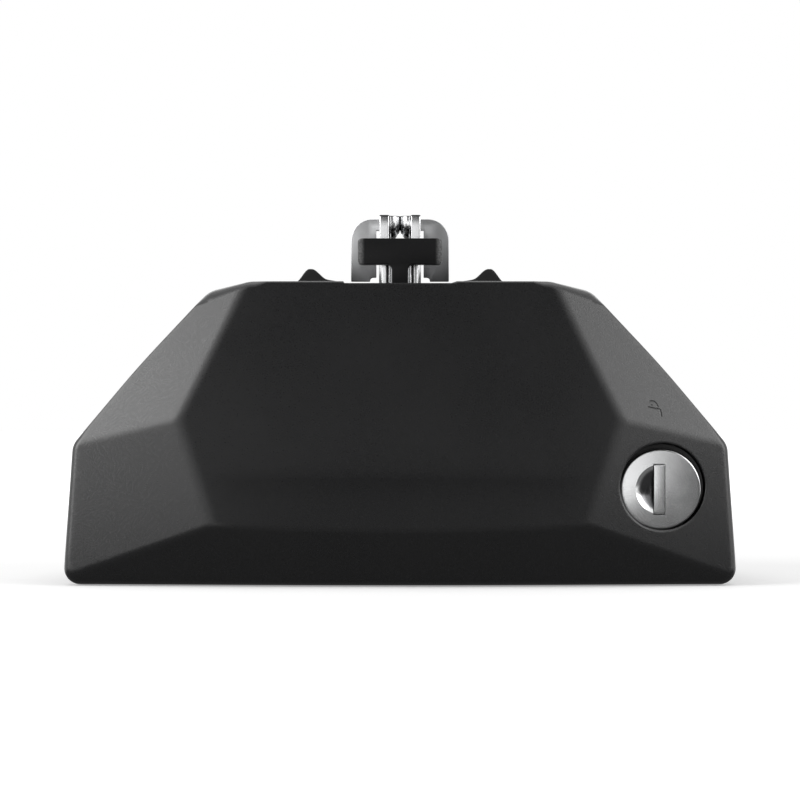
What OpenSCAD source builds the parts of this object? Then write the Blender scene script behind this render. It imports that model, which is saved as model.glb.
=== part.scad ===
// Roof bar foot for flush rails: a lockable faceted cover over a moulded base, a screw-driven
// rail clamp with a fixed outer jaw and a sliding inner jaw, and a fork that draws a clamp
// plate down inside the slot of the bar.
// X runs along the rail, Y along the bar with the cover at -Y, and Z is up.
// The origin is the middle of the plane on which the jaw lips stand.

/* [Cover outline] */
// Depth of the whole foot along the bar
foot_depth = 96; // [94:1:110]
// Width of the cover at its lower edge
cover_width = 168; // [160:1:180]
// Height of the cover's flat top
cover_height = 76.1; // [75.6:0.1:80]
// How far each side leans in from the lower edge up to the waist
side_lean = 2.2; // [1:0.1:4]
// Height of the waist, where the side turns into the flank
waist_z = 35; // [31:0.5:38]
// Half width at the top of the flank
flank_half = 47.8; // [45:0.1:52]
// Height of the top of the flank
flank_z = 73.3; // [72:0.1:74]
// Outward bulge of the flank between waist and top
flank_bulge = 0.5; // [0.2:0.1:1]
// Half width of the flat top
top_half = 37.2; // [35:0.1:39]

/* [Cover facets] */
// Lean of the centre facet back from the vertical, in degrees
front_lean = 11.3; // [8:0.1:13]
// Lean of the lower facet under the chin crease, in degrees
chin_lean = 26.6; // [20:0.1:32]
// Sweep of the lower side facets back from the centre, in degrees
cheek_sweep = 17.7; // [15:0.1:21]
// Height of the chin crease at the middle
chin_z = 14; // [11:0.5:17]
// Rise of the chin crease from the middle to its ends
chin_rise = 1.1; // [0.6:0.1:1.6]
// Half length of the chin crease
chin_half = 46.1; // [42:0.1:49]
// How far the centre facet curves back at the ends of the chin crease
front_crown = 1.7; // [1:0.1:2.2]
// Half width at the corner where centre, lower side and upper side facets meet
cheek_half = 54.8; // [53:0.1:57]
// Height of that corner
cheek_z = 41.3; // [38:0.1:44]
// Half width at the upper corner of the centre facet
brow_half = 38.8; // [37:0.1:41]
// Height of the upper corner of the centre facet
brow_z = 74.6; // [73:0.1:75.4]

/* [Cover shell] */
// Wall of the cover
cover_wall = 2.5; // [2:0.1:2.8]
// Radius of the cover's outer creases
cover_round = 3.5; // [3.3:0.1:4.5]
// Depth of the cover from its foremost point to its rear edge
cover_depth = 33; // [31.5:0.5:34]
// Widening of the cover towards its open rear, in degrees
cover_draft = 1; // [0.5:0.1:2]
// Height of the cover's lower edge above the standing plane
cover_lift = 0.3; // [0.2:0.1:1]
// Depth of the flange along the cover's lower edge
flange_depth = 14; // [11:0.5:16]
// Depth of the shallow dip in the middle of the cover's top
dip_depth = 0.5; // [0.2:0.1:0.8]
// Half length of that dip
dip_half = 14; // [12:0.5:16]
// Thickness of the ribs inside the cover
cover_rib = 1.6; // [1.2:0.1:2]
// Half distance between the two upper tongues that locate the cover
tongue_x = 31; // [29:0.5:32]
// Width of each tongue
tongue_w = 12; // [8:0.5:14]
// Thickness of each tongue
tongue_t = 2; // [1.6:0.1:2.6]

/* [Rail clamp] */
// Height of the sole above the standing plane
sole_z = 8.6; // [8.4:0.1:10]
// Distance between the jaw faces when tightened
jaw_gap = 57; // [54:0.5:60]
// Thickness of the steel jaws
jaw_t = 2.8; // [2.5:0.1:3]
// Length of the lip that hooks under the rail
jaw_lip = 5; // [4:0.1:6]
// Width of the jaws along the rail
jaw_w = 40; // [34:1:44]
// Outer radius of the bend between jaw and lip
jaw_bend = 4.4; // [4.4:0.1:5]
// Thickness of the rubber liners on the jaws
liner_t = 1.2; // [0.8:0.1:1.3]
// Height of the rubber liners
liner_h = 12.5; // [10:0.5:13]
// Height of the outer jaw's bracket
bracket_h = 60; // [58:0.5:62]
// Thickness of the rubber sole
sole_t = 4; // [3.5:0.1:5]
// Length of the rubber sole along the rail
sole_w = 104; // [90:1:106]
// Distance of the sole from the tips of the jaw lips
sole_gap = 0.8; // [0.5:0.1:2]
// Number of grooves in the sole
groove_count = 7; // [3:1:9]
// Width of each groove
groove_w = 1.6; // [1:0.1:2]
// Depth of each groove
groove_d = 0.9; // [0.5:0.1:1.4]

/* [Tension screw] */
// Shank diameter of the tension screw
screw_d = 8; // [7:0.5:8.5]
// Height of the tension screw
screw_z = 30; // [29:0.5:31]
// Diameter of the screw's head
head_d = 13; // [12:0.5:15]
// Height of the screw's head
head_h = 8; // [6:0.5:9]
// Hexagon socket across flats
socket_af = 6; // [5:0.5:7]
// Depth of the hexagon socket
socket_depth = 4.5; // [3:0.5:5]
// Length of the screw beyond the rear face of the bracket
screw_reach = 48; // [44:0.5:50]
// Thickness of the washer under the head
washer_t = 1.6; // [1.2:0.1:2]
// Diameter of the washer
washer_d = 18; // [16:0.5:20]
// Travel of the inner jaw when the screw is loosened
jaw_travel = 12.5; // [10:0.5:13]
// Lift of the bar clamp over the same travel
clamp_lift = 4; // [3.5:0.1:4.4]

/* [Slider] */
// Half width over the slider's two side plates
slider_half = 10; // [9:0.1:10.4]
// Thickness of the slider's folded steel
slider_t = 2.5; // [2:0.1:3]
// Height of the slider's lower edge
slider_bottom = 14; // [13.8:0.1:15]
// Height of the slider's upper edge over the inclined slots
slider_top = 58; // [57:0.5:60]
// Diameter of the barrel nut
nut_d = 14; // [13:0.5:15]
// Distance of the barrel nut behind the outer jaw face
nut_back = 36; // [33:0.5:38]
// Height of the inner jaw
inner_jaw_h = 38; // [37:0.5:40]
// Shank diameter of the rivets
rivet_d = 5; // [4:0.5:5.5]

/* [Bar clamp] */
// Diameter of the cross pin
pin_d = 5; // [4.5:0.1:5.5]
// Height of the cross pin when tightened
pin_z = 48; // [47:0.5:49]
// Distance of the fork's middle behind the cover's foremost point
fork_back = 49; // [48:0.5:50]
// Depth of the fork's plates along the bar
fork_d = 10; // [9.5:0.1:11]
// Half distance between the inner faces of the fork's plates
fork_inner = 2.8; // [2.6:0.1:3]
// Thickness of each fork plate
fork_t = 2.5; // [2:0.1:2.6]
// Height of the fork's top above the bar seat
fork_rise = 18.7; // [18.5:0.1:19.5]
// Height of the middle of the pressed dimples above the bar seat
dimple_rise = 16.9; // [16.5:0.1:17.2]
// Radius of the dimple at the plate
dimple_base = 4.8; // [4.4:0.1:5]
// Radius of the dimple's flat end
dimple_tip = 2.2; // [1.6:0.1:2.6]
// Width of the clamp plate
plate_w = 25.5; // [24:0.1:27]
// Thickness of the clamp plate
plate_t = 3; // [2.5:0.1:3.5]
// Height of the clamp plate's lower edge above the bar seat
plate_gap = 1.9; // [1.6:0.1:2.4]
// Height of the clamp plate
plate_h = 16.4; // [16:0.1:17]
// Corner radius of the clamp plate
plate_round = 4.5; // [3:0.1:5]
// Width of the slot in the clamp plate
slot_w = 12.3; // [11.8:0.1:13]
// Height of the closed bridge over that slot
bridge_h = 3.1; // [2.6:0.1:3.4]
// Width of the notch at the foot of the slot
notch_w = 15.6; // [14:0.1:17]
// Height of that notch
notch_h = 1.5; // [1:0.1:2]

/* [Bar seat] */
// Step from the cover's top down to the bar seat
seat_step = 0.6; // [0.4:0.1:1]
// Distance of the saddle pads behind the cover's foremost point
saddle_back = 35; // [34:0.5:36]
// Length of the saddle pads along the bar
saddle_l = 49; // [46:1:52]
// Inner end of each saddle pad from the middle
saddle_inner = 14.4; // [13.5:0.1:15.5]
// Outer end of each saddle pad from the middle
saddle_outer = 34; // [32:0.1:34.5]
// Distance of each hump's crest from the middle
hump_x = 22.8; // [22:0.1:24]
// Height of the hump's crest above the bar seat
hump_h = 4.3; // [3.8:0.1:5]
// Thickness of the pad inside the hump
pad_inner_t = 1.6; // [1.3:0.1:2]
// Thickness of the pad outside the hump
pad_outer_t = 0.8; // [0.6:0.1:1]
// Width of the guide's head
guide_w = 21.6; // [20:0.1:23]
// Height of the guide's head
guide_h = 6.9; // [6:0.1:7.5]
// Depth of the guide along the bar
guide_d = 6; // [5:0.1:6.4]
// Height of the underside of the guide's head above the bar seat
guide_rise = 5.4; // [5:0.1:6]
// Width of the guide's stem
stem_w = 4.2; // [3.8:0.1:5]
// Fillet between stem and head
stem_fillet = 1.3; // [0.8:0.1:1.8]
// Depth of the guide's foot below the bar seat
foot_drop = 11; // [10:0.5:12]

/* [Lock] */
// Distance of the lock's axis from the cover's lower corner
lock_inset = 19.2; // [18.5:0.1:21]
// Height of the lock's axis
lock_z = 24; // [23:0.1:25]
// Diameter of the lock's face
lock_d = 20.1; // [19:0.1:20.4]
// Distance of the lock's face behind the cover's foremost point
lock_back = 11.8; // [11.4:0.1:12.4]
// Thickness of the lock's face
lock_face_t = 2.2; // [1.8:0.1:2.5]
// Bevel round the lock's face
lock_bevel = 0.5; // [0.3:0.1:0.7]
// Diameter of the well in the cover
well_d = 22.5; // [22:0.1:23]
// Height of the well's middle above the lock's axis
well_rise = 0.4; // [0:0.1:0.5]
// Diameter of the lock's barrel
barrel_d = 14; // [13:0.1:15]
// Diameter of the lock's housing
housing_d = 17.2; // [16.6:0.1:18]
// Length of the cam from tip to tip
cam_l = 19; // [17:0.5:20]
// Width of the cam's arms
cam_w = 6; // [5:0.1:7]
// Thickness of the cam
cam_t = 2.2; // [1.8:0.1:2.5]
// Diameter of the cam's hub
cam_hub_d = 10.4; // [10:0.1:10.8]
// Height of the shutter
shutter_h = 12.3; // [11:0.1:13]
// Distance of the shutter's free edge from the axis
shutter_left = 1.65; // [1.4:0.05:1.8]
// Distance of the shutter's hinged edge from the axis
shutter_right = 1; // [0.9:0.05:1.1]
// Thickness of the shutter
shutter_t = 0.8; // [0.7:0.05:0.9]
// Radius of the polished scoop beside the shutter
scoop_r = 6.2; // [5.8:0.1:6.6]
// Depth of the scoop on the lock's axis
scoop_depth = 2.5; // [2:0.1:2.8]

/* [Base] */
// Taper of the base towards its rear, in degrees
base_taper = 5; // [2:0.5:6]
// Radius of the base's outer creases
base_round = 3; // [2:0.1:3.5]
// Height of the base's underside above the sole
base_lift = 1.6; // [1.2:0.1:2]
// Wall left outside the base's pockets
pocket_wall = 6.5; // [6:0.1:8]
// Depth of the base's front pockets
pocket_depth = 14; // [8:1:20]
// Thickness of the base's ribs and of its front wall
base_rib = 2.2; // [1.8:0.1:3]
// Gap between the cover's rear edge and the base's shoulder
seam_gap = 0.4; // [0.3:0.1:0.6]

/* [Quality] */
// Facets round a full turn of the cover's creases
crease_fn = 28; // [16:4:32]

/* [Hidden] */
$fn = 64;

// clearances
slide_gap = 0.3;      // between bodies that slide past each other
run_gap = 0.05;       // radial, between a shaft and its bore
seat_gap = 0.02;      // radial, between pieces pressed or screwed together
cut_over = 1;         // overlap of a cut past the face that it opens
span = 200;           // half size of the blocks that stand for half spaces

// fixed sizes of small features
jaw_back = 26;          // from the cover's foremost point to the outer jaw's face
silhouette_back = 14;   // from there to the plane in which the outline above is measured
front_wall_t = 3;       // the base's wall behind the bracket
bracket_screw_x = 14.8;
bracket_screw_d = 5;
bracket_screw_l = 13;
guide_foot_w = 10;
guide_screw_d = 3;
guide_wall_t = 2.4;     // what the guide's screw clamps
flange_t = 1.2;
well_floor_t = 2.4;
neck_d = 10;
cam_nut_t = 3;
cam_sq = 7;
stub_d = 6;
knuckle_r = 0.6;
hinge_pin_d = 0.7;
shutter_gap = 0.2;
shutter_pocket = 3.2;
clip_t = 1;
pin_room = 6.5;         // round the ends of the cross pin
rear_corner = 26;       // from the cover's lower corner to the base's chamfered rear corner
rib_x = 18;             // the cover's ribs stand at this distance from the middle and at twice it

// levels and stations derived from the sizes above
y_front = -foot_depth / 2;
y_rear = foot_depth / 2;
cover_back = y_front + cover_depth;
silhouette_y = y_front + silhouette_back;
seat_z = cover_height - seat_step;
base_z = sole_z + base_lift;
outer_face = y_front + jaw_back;
inner_face = outer_face + jaw_gap;
bracket_front = outer_face - jaw_t;
wall_back = outer_face + front_wall_t;
fork_y = y_front + fork_back;
nut_y = outer_face + nut_back;
screw_end = outer_face + screw_reach;
head_back = bracket_front - washer_t;
plate_z = seat_z + plate_gap;
dimple_z = seat_z + dimple_rise;
fork_top = seat_z + fork_rise;
guide_y = fork_y - fork_d / 2 - 2;
guide_z = seat_z + guide_rise;
guide_foot_z = seat_z - foot_drop;
guide_screw_z = guide_foot_z + 5;
bracket_screw_z = bracket_h - 7;
lock_x = cover_width / 2 - lock_inset;
lock_face = y_front + lock_back;
lock_step = lock_face + lock_face_t;
housing_front = lock_step + 0.4;
well_floor = housing_front + flange_t;
housing_back = outer_face - 2;
cam_y = wall_back + 0.4;
hinge_x = shutter_right - 0.6;
channel_half = slider_half + slide_gap;
channel_top = slider_top + 2;
pin_half = slider_half + 2.4;
slot_angle = atan2(clamp_lift, jaw_travel);
slot_run = norm([jaw_travel, clamp_lift]);
tongue_z = brow_z - 8;

// colours
black_plastic = [0.07, 0.07, 0.075];
black_rubber = [0.04, 0.04, 0.045];
zinc_steel = [0.72, 0.73, 0.75];
rolled_steel = [0.5, 0.51, 0.53];
chrome_face = [0.8, 0.81, 0.83];
dark_steel = [0.25, 0.25, 0.27];

// a plane is [nx, ny, nz, d] and holds the points p with n * p = d; the form lies behind it
function plane_at(n, p) = let (u = n / norm(n)) [u[0], u[1], u[2], u * p];
function mirrored(plane) = [-plane[0], plane[1], plane[2], plane[3]];
function both(planes) = [for (p = planes) each [p, mirrored(p)]];

// the cover's front: a gently crowned centre facet over a lower facet, meeting in the chin crease
crown = front_crown / pow(chin_half, 2);
front_slope = tan(front_lean);
chin_slope = tan(chin_lean);
sweep = tan(cheek_sweep);
function chin_crease_z(x) = chin_z + chin_rise * pow(x / chin_half, 2);
function front_y(x, z) = y_front + crown * x * x + front_slope * (z - chin_z);
function on_chin(x) = [x, front_y(x, chin_crease_z(x)), chin_crease_z(x)];
function front_plane(x) = plane_at([2 * crown * x, -1, front_slope], on_chin(x));
function chin_plane(x) =
    let (turn = 2 * chin_rise * x / pow(chin_half, 2))
    plane_at([2 * crown * x + (front_slope + chin_slope) * turn, -1, -chin_slope], on_chin(x));

// the side facets pass through the corners that they share with the centre facet
chin_corner = on_chin(chin_half);
cheek_corner = [cheek_half, front_y(cheek_half, cheek_z), cheek_z];
brow_corner = [brow_half, front_y(brow_half, brow_z), brow_z];
cheek_rise = (cheek_corner[1] - chin_corner[1] - sweep * (cheek_half - chin_half))
    / (cheek_z - chin_corner[2]);
function cheek_y(x, z) = chin_corner[1] + sweep * (x - chin_half) + cheek_rise * (z - chin_corner[2]);
waist_half = cover_width / 2 - side_lean;
waist_corner = [waist_half, cheek_y(waist_half, waist_z), waist_z];
cheek_plane = plane_at([sweep, -1, cheek_rise], chin_corner);
brow_normal = cross(waist_corner - cheek_corner, brow_corner - cheek_corner);
brow_plane = plane_at(brow_normal[1] > 0 ? -brow_normal : brow_normal, cheek_corner);

// the outline seen from the front, as [half width, height] from the lower edge to the top
flank_dir = [flank_half - waist_half, flank_z - waist_z];
flank_mid = [(waist_half + flank_half) / 2, (waist_z + flank_z) / 2]
    + flank_bulge * [flank_dir[1], -flank_dir[0]] / norm(flank_dir);
outline = [[cover_width / 2, 0], [waist_half, waist_z], flank_mid, [flank_half, flank_z],
    [top_half, cover_height]];
// a wall along one stretch of the outline; a positive draft widens it towards the rear
function wall_plane(p, q, draft, y_ref) =
    let (run = (q - p) / norm(q - p))
    plane_at([run[1], -sin(draft), -run[0]], [p[0], y_ref, p[1]]);
function outline_planes(draft, y_ref) =
    both([for (i = [0 : len(outline) - 2]) wall_plane(outline[i], outline[i + 1], draft, y_ref)]);

chin_stations = [chin_half / 2, chin_half, chin_half + 19, chin_half + 34];
cover_planes = concat(
    [front_plane(0), chin_plane(0), [0, 0, 1, cover_height], [0, 0, -1, -cover_lift]],
    both([front_plane(chin_half / 2), front_plane(chin_half), cheek_plane, brow_plane]),
    both([for (x = chin_stations) chin_plane(x)]),
    outline_planes(cover_draft, silhouette_y),
    [[0, 1, 0, span / 2]]);

base_planes = concat(
    [[0, 0, 1, seat_z], [0, 0, -1, -base_z], [0, 1, 0, y_rear], [0, -1, 0, span / 2]],
    [plane_at([0, 0.6, 0.8], [0, y_rear - 7, seat_z]), plane_at([0, 0.8, -0.6], [0, y_rear, 26])],
    both([plane_at([0.5, 0.85, 0.1], [cover_width / 2 - rear_corner, y_rear, waist_z])]),
    outline_planes(-base_taper, cover_back));

// the solid behind a list of planes, each moved in by inset
module behind_planes(planes, inset) {
    intersection_for (p = planes)
        rotate([0, acos(p[2]), atan2(p[1], p[0])])
            translate([-span, -span, p[3] - inset - 2 * span])
                cube(2 * span);
}

// the same solid with its creases rounded
module rounded_form(planes, inset, r, fn) {
    minkowski() {
        behind_planes(planes, inset + r);
        sphere(r, $fn = fn);
    }
}

// everything between two stations along the bar
module slab(y0, y1) {
    translate([-span, y0, -span]) cube([2 * span, y1 - y0, 2 * span]);
}

module box(low, high) {
    translate(low) cube(high - low);
}

// cylinders along X and Y, from one station to another
module along_y(x, z, y0, y1, d) {
    translate([x, y0, z]) rotate([-90, 0, 0]) cylinder(d = d, h = y1 - y0);
}

module along_x(y, z, x0, x1, d) {
    translate([x0, y, z]) rotate([0, 90, 0]) cylinder(d = d, h = x1 - x0);
}

// a shape drawn in X and Z, given depth from y0 to y1
module upright(y0, y1) {
    translate([0, y1, 0]) rotate([90, 0, 0]) linear_extrude(y1 - y0) children();
}

// a shape drawn in Y and Z, given width from x0 to x1
module sideways(x0, x1) {
    translate([x0, 0, 0]) rotate([90, 0, 90]) linear_extrude(x1 - x0) children();
}

module square_between(low, high) {
    translate(low) square(high - low);
}

// a rectangle from low to high with round corners
module round_rect(low, high, r) {
    translate(low + [r, 0]) square(high - low - [2 * r, 0]);
    translate(low + [0, r]) square(high - low - [0, 2 * r]);
    for (x = [low[0] + r, high[0] - r], y = [low[1] + r, high[1] - r])
        translate([x, y]) circle(r);
}

// a pan head screw along Y, its head towards -Y and seated at y0
module pan_screw(x, z, y0, y1, d) {
    along_y(x, z, y0, y1, d);
    difference() {
        along_y(x, z, y0 - 0.55 * d, y0, 2 * d);
        along_y(x, z, y0 - 0.55 * d - cut_over, y0 - 0.25 * d, 0.9 * d, $fn = 6);
    }
}

// moulded base

// the outline's lines moved in by the pockets' wall, and the points where they meet
function inset_line(i, by) =
    let (run = (outline[i + 1] - outline[i]) / norm(outline[i + 1] - outline[i]))
    [run[1], -run[0], [run[1], -run[0]] * outline[i] - by];
function meet(a, b) =
    let (det = a[0] * b[1] - a[1] * b[0])
    [(a[2] * b[1] - b[2] * a[1]) / det, (a[0] * b[2] - b[0] * a[2]) / det];
pocket_inner = bracket_screw_x + bracket_screw_d / 2 + 3.4;
pocket_floor = sole_z + sole_t + base_rib;
pocket_top = seat_z - 8;
pocket_low_line = [0, -1, -pocket_floor];
pocket_top_line = [0, 1, pocket_top];
pocket_points = [
    [pocket_inner, pocket_floor],
    meet(inset_line(0, pocket_wall), pocket_low_line),
    meet(inset_line(0, pocket_wall), inset_line(1, pocket_wall)),
    meet(inset_line(1, pocket_wall), inset_line(2, pocket_wall)),
    meet(inset_line(2, pocket_wall), pocket_top_line),
    [pocket_inner, pocket_top]];
keeper_half = cam_l / 2 + 1.4;
keeper_left = lock_x - keeper_half;
pocket_pitch = (keeper_left - base_rib - pocket_inner) / 2 + base_rib / 2;
outer_pitch = (pocket_points[1][0] + base_rib - keeper_left) / 2;
columns = [pocket_inner, pocket_inner + pocket_pitch, keeper_left, keeper_left + outer_pitch, span];
shelf_z = lock_z + keeper_half + base_rib;

// the front pockets of one side, parted by upright ribs and one shelf; the lower outer ones are
// kept solid on the lock's side, where they become the keeper
module pockets(lock_side) {
    for (column = [0 : 3], row = [0 : 1])
        if (!(lock_side && column > 1 && row == 0) && !(column == 3 && row == 1))
            upright(outer_face - cut_over, outer_face + pocket_depth)
                intersection() {
                    polygon(pocket_points);
                    translate([columns[column], row * (shelf_z + base_rib)])
                        square([columns[column + 1] - base_rib - columns[column],
                            row == 0 ? shelf_z : span]);
                }
}

// cells that core out the underside of one flank behind the front pockets
flank_cells = 3;
cell_inner = sole_w / 2 + base_rib + 1;
cell_outer = waist_half - pocket_wall - 2;
cell_front = outer_face + pocket_depth + base_rib;
cell_l = (inner_face - cell_front) / flank_cells;
module flank_cores() {
    for (i = [0 : flank_cells - 1])
        box([cell_inner, cell_front + i * cell_l, base_z - cut_over],
            [cell_outer, cell_front + (i + 1) * cell_l - base_rib, shelf_z]);
}

module keeper_cut() {
    hole = cam_hub_d + 0.8;
    along_y(lock_x, lock_z, outer_face - cut_over, wall_back + cut_over, hole);
    box([lock_x - cam_w / 2 - 0.4, outer_face - cut_over, lock_z - cam_l / 2 - 0.5],
        [lock_x + cam_w / 2 + 0.4, wall_back + cut_over, lock_z + cam_l / 2 + 0.5]);
    box([keeper_left, wall_back, base_z - cut_over],
        [lock_x + keeper_half, cam_y + cam_t + cam_nut_t + 1, lock_z + keeper_half]);
}

module foot_base() {
    color(black_plastic) difference() {
        union() {
            intersection() {
                rounded_form(base_planes, 0, base_round, 20);
                slab(cover_back + seam_gap, span);
            }
            intersection() {
                rounded_form(cover_planes, cover_wall + seam_gap, 1, 12);
                slab(outer_face, cover_back + seam_gap + 2);
                box([-span, -span, base_z], [span, span, seat_z - 1]);
            }
        }
        // channel for the slider, with a wider pocket for the ends of the cross pin
        box([-channel_half, wall_back, slider_bottom - slide_gap], [channel_half, span, channel_top]);
        box([-pin_half - 1, fork_y - pin_room, pin_z - pin_room],
            [pin_half + 1, fork_y + pin_room, pin_z + clamp_lift + pin_room]);
        // recess for the inner jaw over its whole travel
        box([-jaw_w / 2 - 2, inner_face - liner_t - 0.6, -cut_over],
            [jaw_w / 2 + 2, span, inner_jaw_h + 2.5]);
        // passages for the fork, the tension screw, the guide and the fasteners
        box([-fork_inner - fork_t - slide_gap, fork_y - fork_d / 2 - slide_gap, channel_top - cut_over],
            [fork_inner + fork_t + slide_gap, fork_y + fork_d / 2 + slide_gap, span]);
        along_y(0, screw_z, outer_face - cut_over, wall_back + cut_over, screw_d + 8);
        box([-guide_foot_w / 2, guide_y - guide_d, guide_foot_z], [guide_foot_w / 2, guide_y, span]);
        along_y(0, guide_screw_z, outer_face - cut_over, guide_y - guide_d - guide_wall_t,
            2 * guide_screw_d + 0.8);
        along_y(0, guide_screw_z, outer_face, guide_y, guide_screw_d + 2 * seat_gap);
        for (side = [-1, 1])
            along_y(side * bracket_screw_x, bracket_screw_z, outer_face - cut_over, outer_face + bracket_screw_l,
                bracket_screw_d + 2 * seat_gap);
        // slots for the cover's tongues
        for (side = [-1, 1])
            box([side * tongue_x - tongue_w / 2 - slide_gap, outer_face - cut_over,
                    tongue_z - tongue_t / 2 - slide_gap],
                [side * tongue_x + tongue_w / 2 + slide_gap, wall_back + 4,
                    tongue_z + tongue_t / 2 + slide_gap]);
        pockets(true);
        mirror([1, 0, 0]) pockets(false);
        keeper_cut();
        flank_cores();
        mirror([1, 0, 0]) flank_cores();
        // recesses for the rubber sole and for the outer jaw's liner
        box([-sole_w / 2, sole_front, -cut_over], [sole_w / 2, sole_rear, sole_z + sole_t]);
        box([-jaw_w / 2, outer_face - cut_over, -cut_over],
            [jaw_w / 2, outer_face + liner_t + slide_gap, liner_h + slide_gap]);
    }
}

sole_front = outer_face + jaw_lip + sole_gap;
sole_rear = inner_face - jaw_lip - sole_gap;

module sole_pad() {
    sole_l = sole_rear - sole_front;
    pitch = sole_l / (groove_count + 1);
    color(black_rubber) difference() {
        translate([0, 0, sole_z]) linear_extrude(sole_t)
            square_between([-sole_w / 2, sole_front], [sole_w / 2, sole_rear]);
        for (i = [1 : groove_count])
            box([-sole_w / 2 - cut_over, sole_front + i * pitch - groove_w / 2, sole_z - cut_over],
                [sole_w / 2 + cut_over, sole_front + i * pitch + groove_w / 2, sole_z + groove_d]);
    }
}

// bar seat

// height of the saddle pad above the bar seat, at a distance x from the middle
hump_in = hump_x - 6.4;
hump_out = hump_x + 3.4;
function half_wave(t) = (1 + cos(180 * t)) / 2;
function saddle_h(x) =
    x < hump_in ? pad_inner_t
    : x < hump_x ? pad_inner_t + (hump_h - pad_inner_t) * half_wave((hump_x - x) / (hump_x - hump_in))
    : x < hump_out ? pad_outer_t + (hump_h - pad_outer_t) * half_wave((x - hump_x) / (hump_out - hump_x))
    : pad_outer_t;
hump_steps = 28;

module saddle_pad() {
    crest = [for (i = [0 : hump_steps])
        let (x = hump_in + (hump_out - hump_in) * i / hump_steps) [x, seat_z + saddle_h(x)]];
    color(black_rubber)
        upright(y_front + saddle_back, y_front + saddle_back + saddle_l)
            polygon(concat([[saddle_outer, seat_z + pad_outer_t], [saddle_outer, seat_z],
                [saddle_inner, seat_z], [saddle_inner, seat_z + pad_inner_t - 0.5],
                [saddle_inner + 0.5, seat_z + pad_inner_t]], crest));
}

module saddle_pad_left() {
    mirror([1, 0, 0]) saddle_pad();
}

module saddle_pad_right() {
    saddle_pad();
}

// T-shaped guide that enters the bar's slot ahead of the clamp
module t_guide() {
    top = guide_z + guide_h;
    color(black_plastic) difference() {
        union() {
            intersection() {
                upright(guide_y - guide_d, guide_y) {
                    round_rect([-guide_w / 2, guide_z], [guide_w / 2, top], 1.1);
                    translate([-stem_w / 2, seat_z - cut_over])
                        square([stem_w, guide_z - seat_z + 2 * cut_over]);
                    for (side = [-1, 1]) difference() {
                        translate([side * (stem_w + stem_fillet) / 2, guide_z - stem_fillet / 2 + 0.05])
                            square([stem_fillet + 0.1, stem_fillet + 0.1], center = true);
                        translate([side * (stem_w / 2 + stem_fillet), guide_z - stem_fillet])
                            circle(stem_fillet);
                    }
                }
                translate([0, 0, -span]) linear_extrude(2 * span)
                    round_rect([-guide_w / 2, guide_y - guide_d], [guide_w / 2, guide_y], 1.9);
            }
            box([-guide_foot_w / 2, guide_y - guide_d, guide_foot_z],
                [guide_foot_w / 2, guide_y, seat_z]);
        }
        along_y(0, guide_screw_z, guide_y - guide_d - cut_over, guide_y + cut_over,
            guide_screw_d + 2 * seat_gap);
    }
}

module guide_screw() {
    color(zinc_steel) pan_screw(0, guide_screw_z, guide_y - guide_d - guide_wall_t, guide_y,
        guide_screw_d);
}

// rail clamp

// section of a jaw: x towards the rail from the jaw's face, y up from the lip's underside
module jaw_section(height) {
    translate([-jaw_t, jaw_bend]) square([jaw_t, height - jaw_bend]);
    translate([jaw_bend - jaw_t, 0]) square([jaw_lip + jaw_t - jaw_bend, jaw_t]);
    intersection() {
        difference() {
            translate([jaw_bend - jaw_t, jaw_bend]) circle(jaw_bend);
            translate([jaw_bend - jaw_t, jaw_bend]) circle(jaw_bend - jaw_t);
        }
        translate([-jaw_t, 0]) square(jaw_bend);
    }
}

// section of the rubber liner, which follows the jaw round its inner corner
module liner_section() {
    corner = jaw_bend - jaw_t;
    translate([0, jaw_bend]) square([liner_t, liner_h - jaw_bend]);
    translate([corner, jaw_t]) square([jaw_lip - corner, liner_t]);
    intersection() {
        difference() {
            translate([corner, jaw_bend]) circle(corner);
            translate([corner, jaw_bend]) circle(corner - liner_t);
        }
        translate([0, jaw_t]) square(corner);
    }
}

module jaw_plate(height) {
    intersection() {
        sideways(-jaw_w / 2, jaw_w / 2) jaw_section(height);
        upright(-span, span) round_rect([-jaw_w / 2, -20], [jaw_w / 2, height], 5);
    }
}

module front_bracket() {
    color(zinc_steel) difference() {
        translate([0, outer_face, 0]) union() {
            jaw_plate(bracket_h);
            // pressed stiffening beads on the front
            for (side = [-1, 1])
                translate([side * (jaw_w / 2 - 5), -jaw_t, 0]) {
                    translate([0, 0, jaw_bend + 3]) cylinder(r = 1.6, h = screw_z);
                    translate([0, 0, jaw_bend + 3]) sphere(1.6);
                    translate([0, 0, jaw_bend + 3 + screw_z]) sphere(1.6);
                }
        }
        along_y(0, screw_z, bracket_front - 3, outer_face + cut_over, screw_d + 2 * run_gap);
        for (side = [-1, 1])
            along_y(side * bracket_screw_x, bracket_screw_z, bracket_front - 3, outer_face + cut_over,
                bracket_screw_d + 0.4);
        // nothing of the beads reaches behind the plate
        box([-span, outer_face, jaw_t], [span, outer_face + 5, bracket_h]);
    }
}

module bracket_screws() {
    color(zinc_steel) for (side = [-1, 1])
        pan_screw(side * bracket_screw_x, bracket_screw_z, bracket_front,
            outer_face + bracket_screw_l, bracket_screw_d);
}

module outer_jaw_liner() {
    color(black_rubber) translate([0, outer_face, 0])
        sideways(-jaw_w / 2 + 1, jaw_w / 2 - 1) liner_section();
}

module screw_washer() {
    color(zinc_steel) difference() {
        along_y(0, screw_z, head_back, bracket_front, washer_d);
        along_y(0, screw_z, head_back - cut_over, bracket_front + cut_over, screw_d + 2 * run_gap);
    }
}

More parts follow.
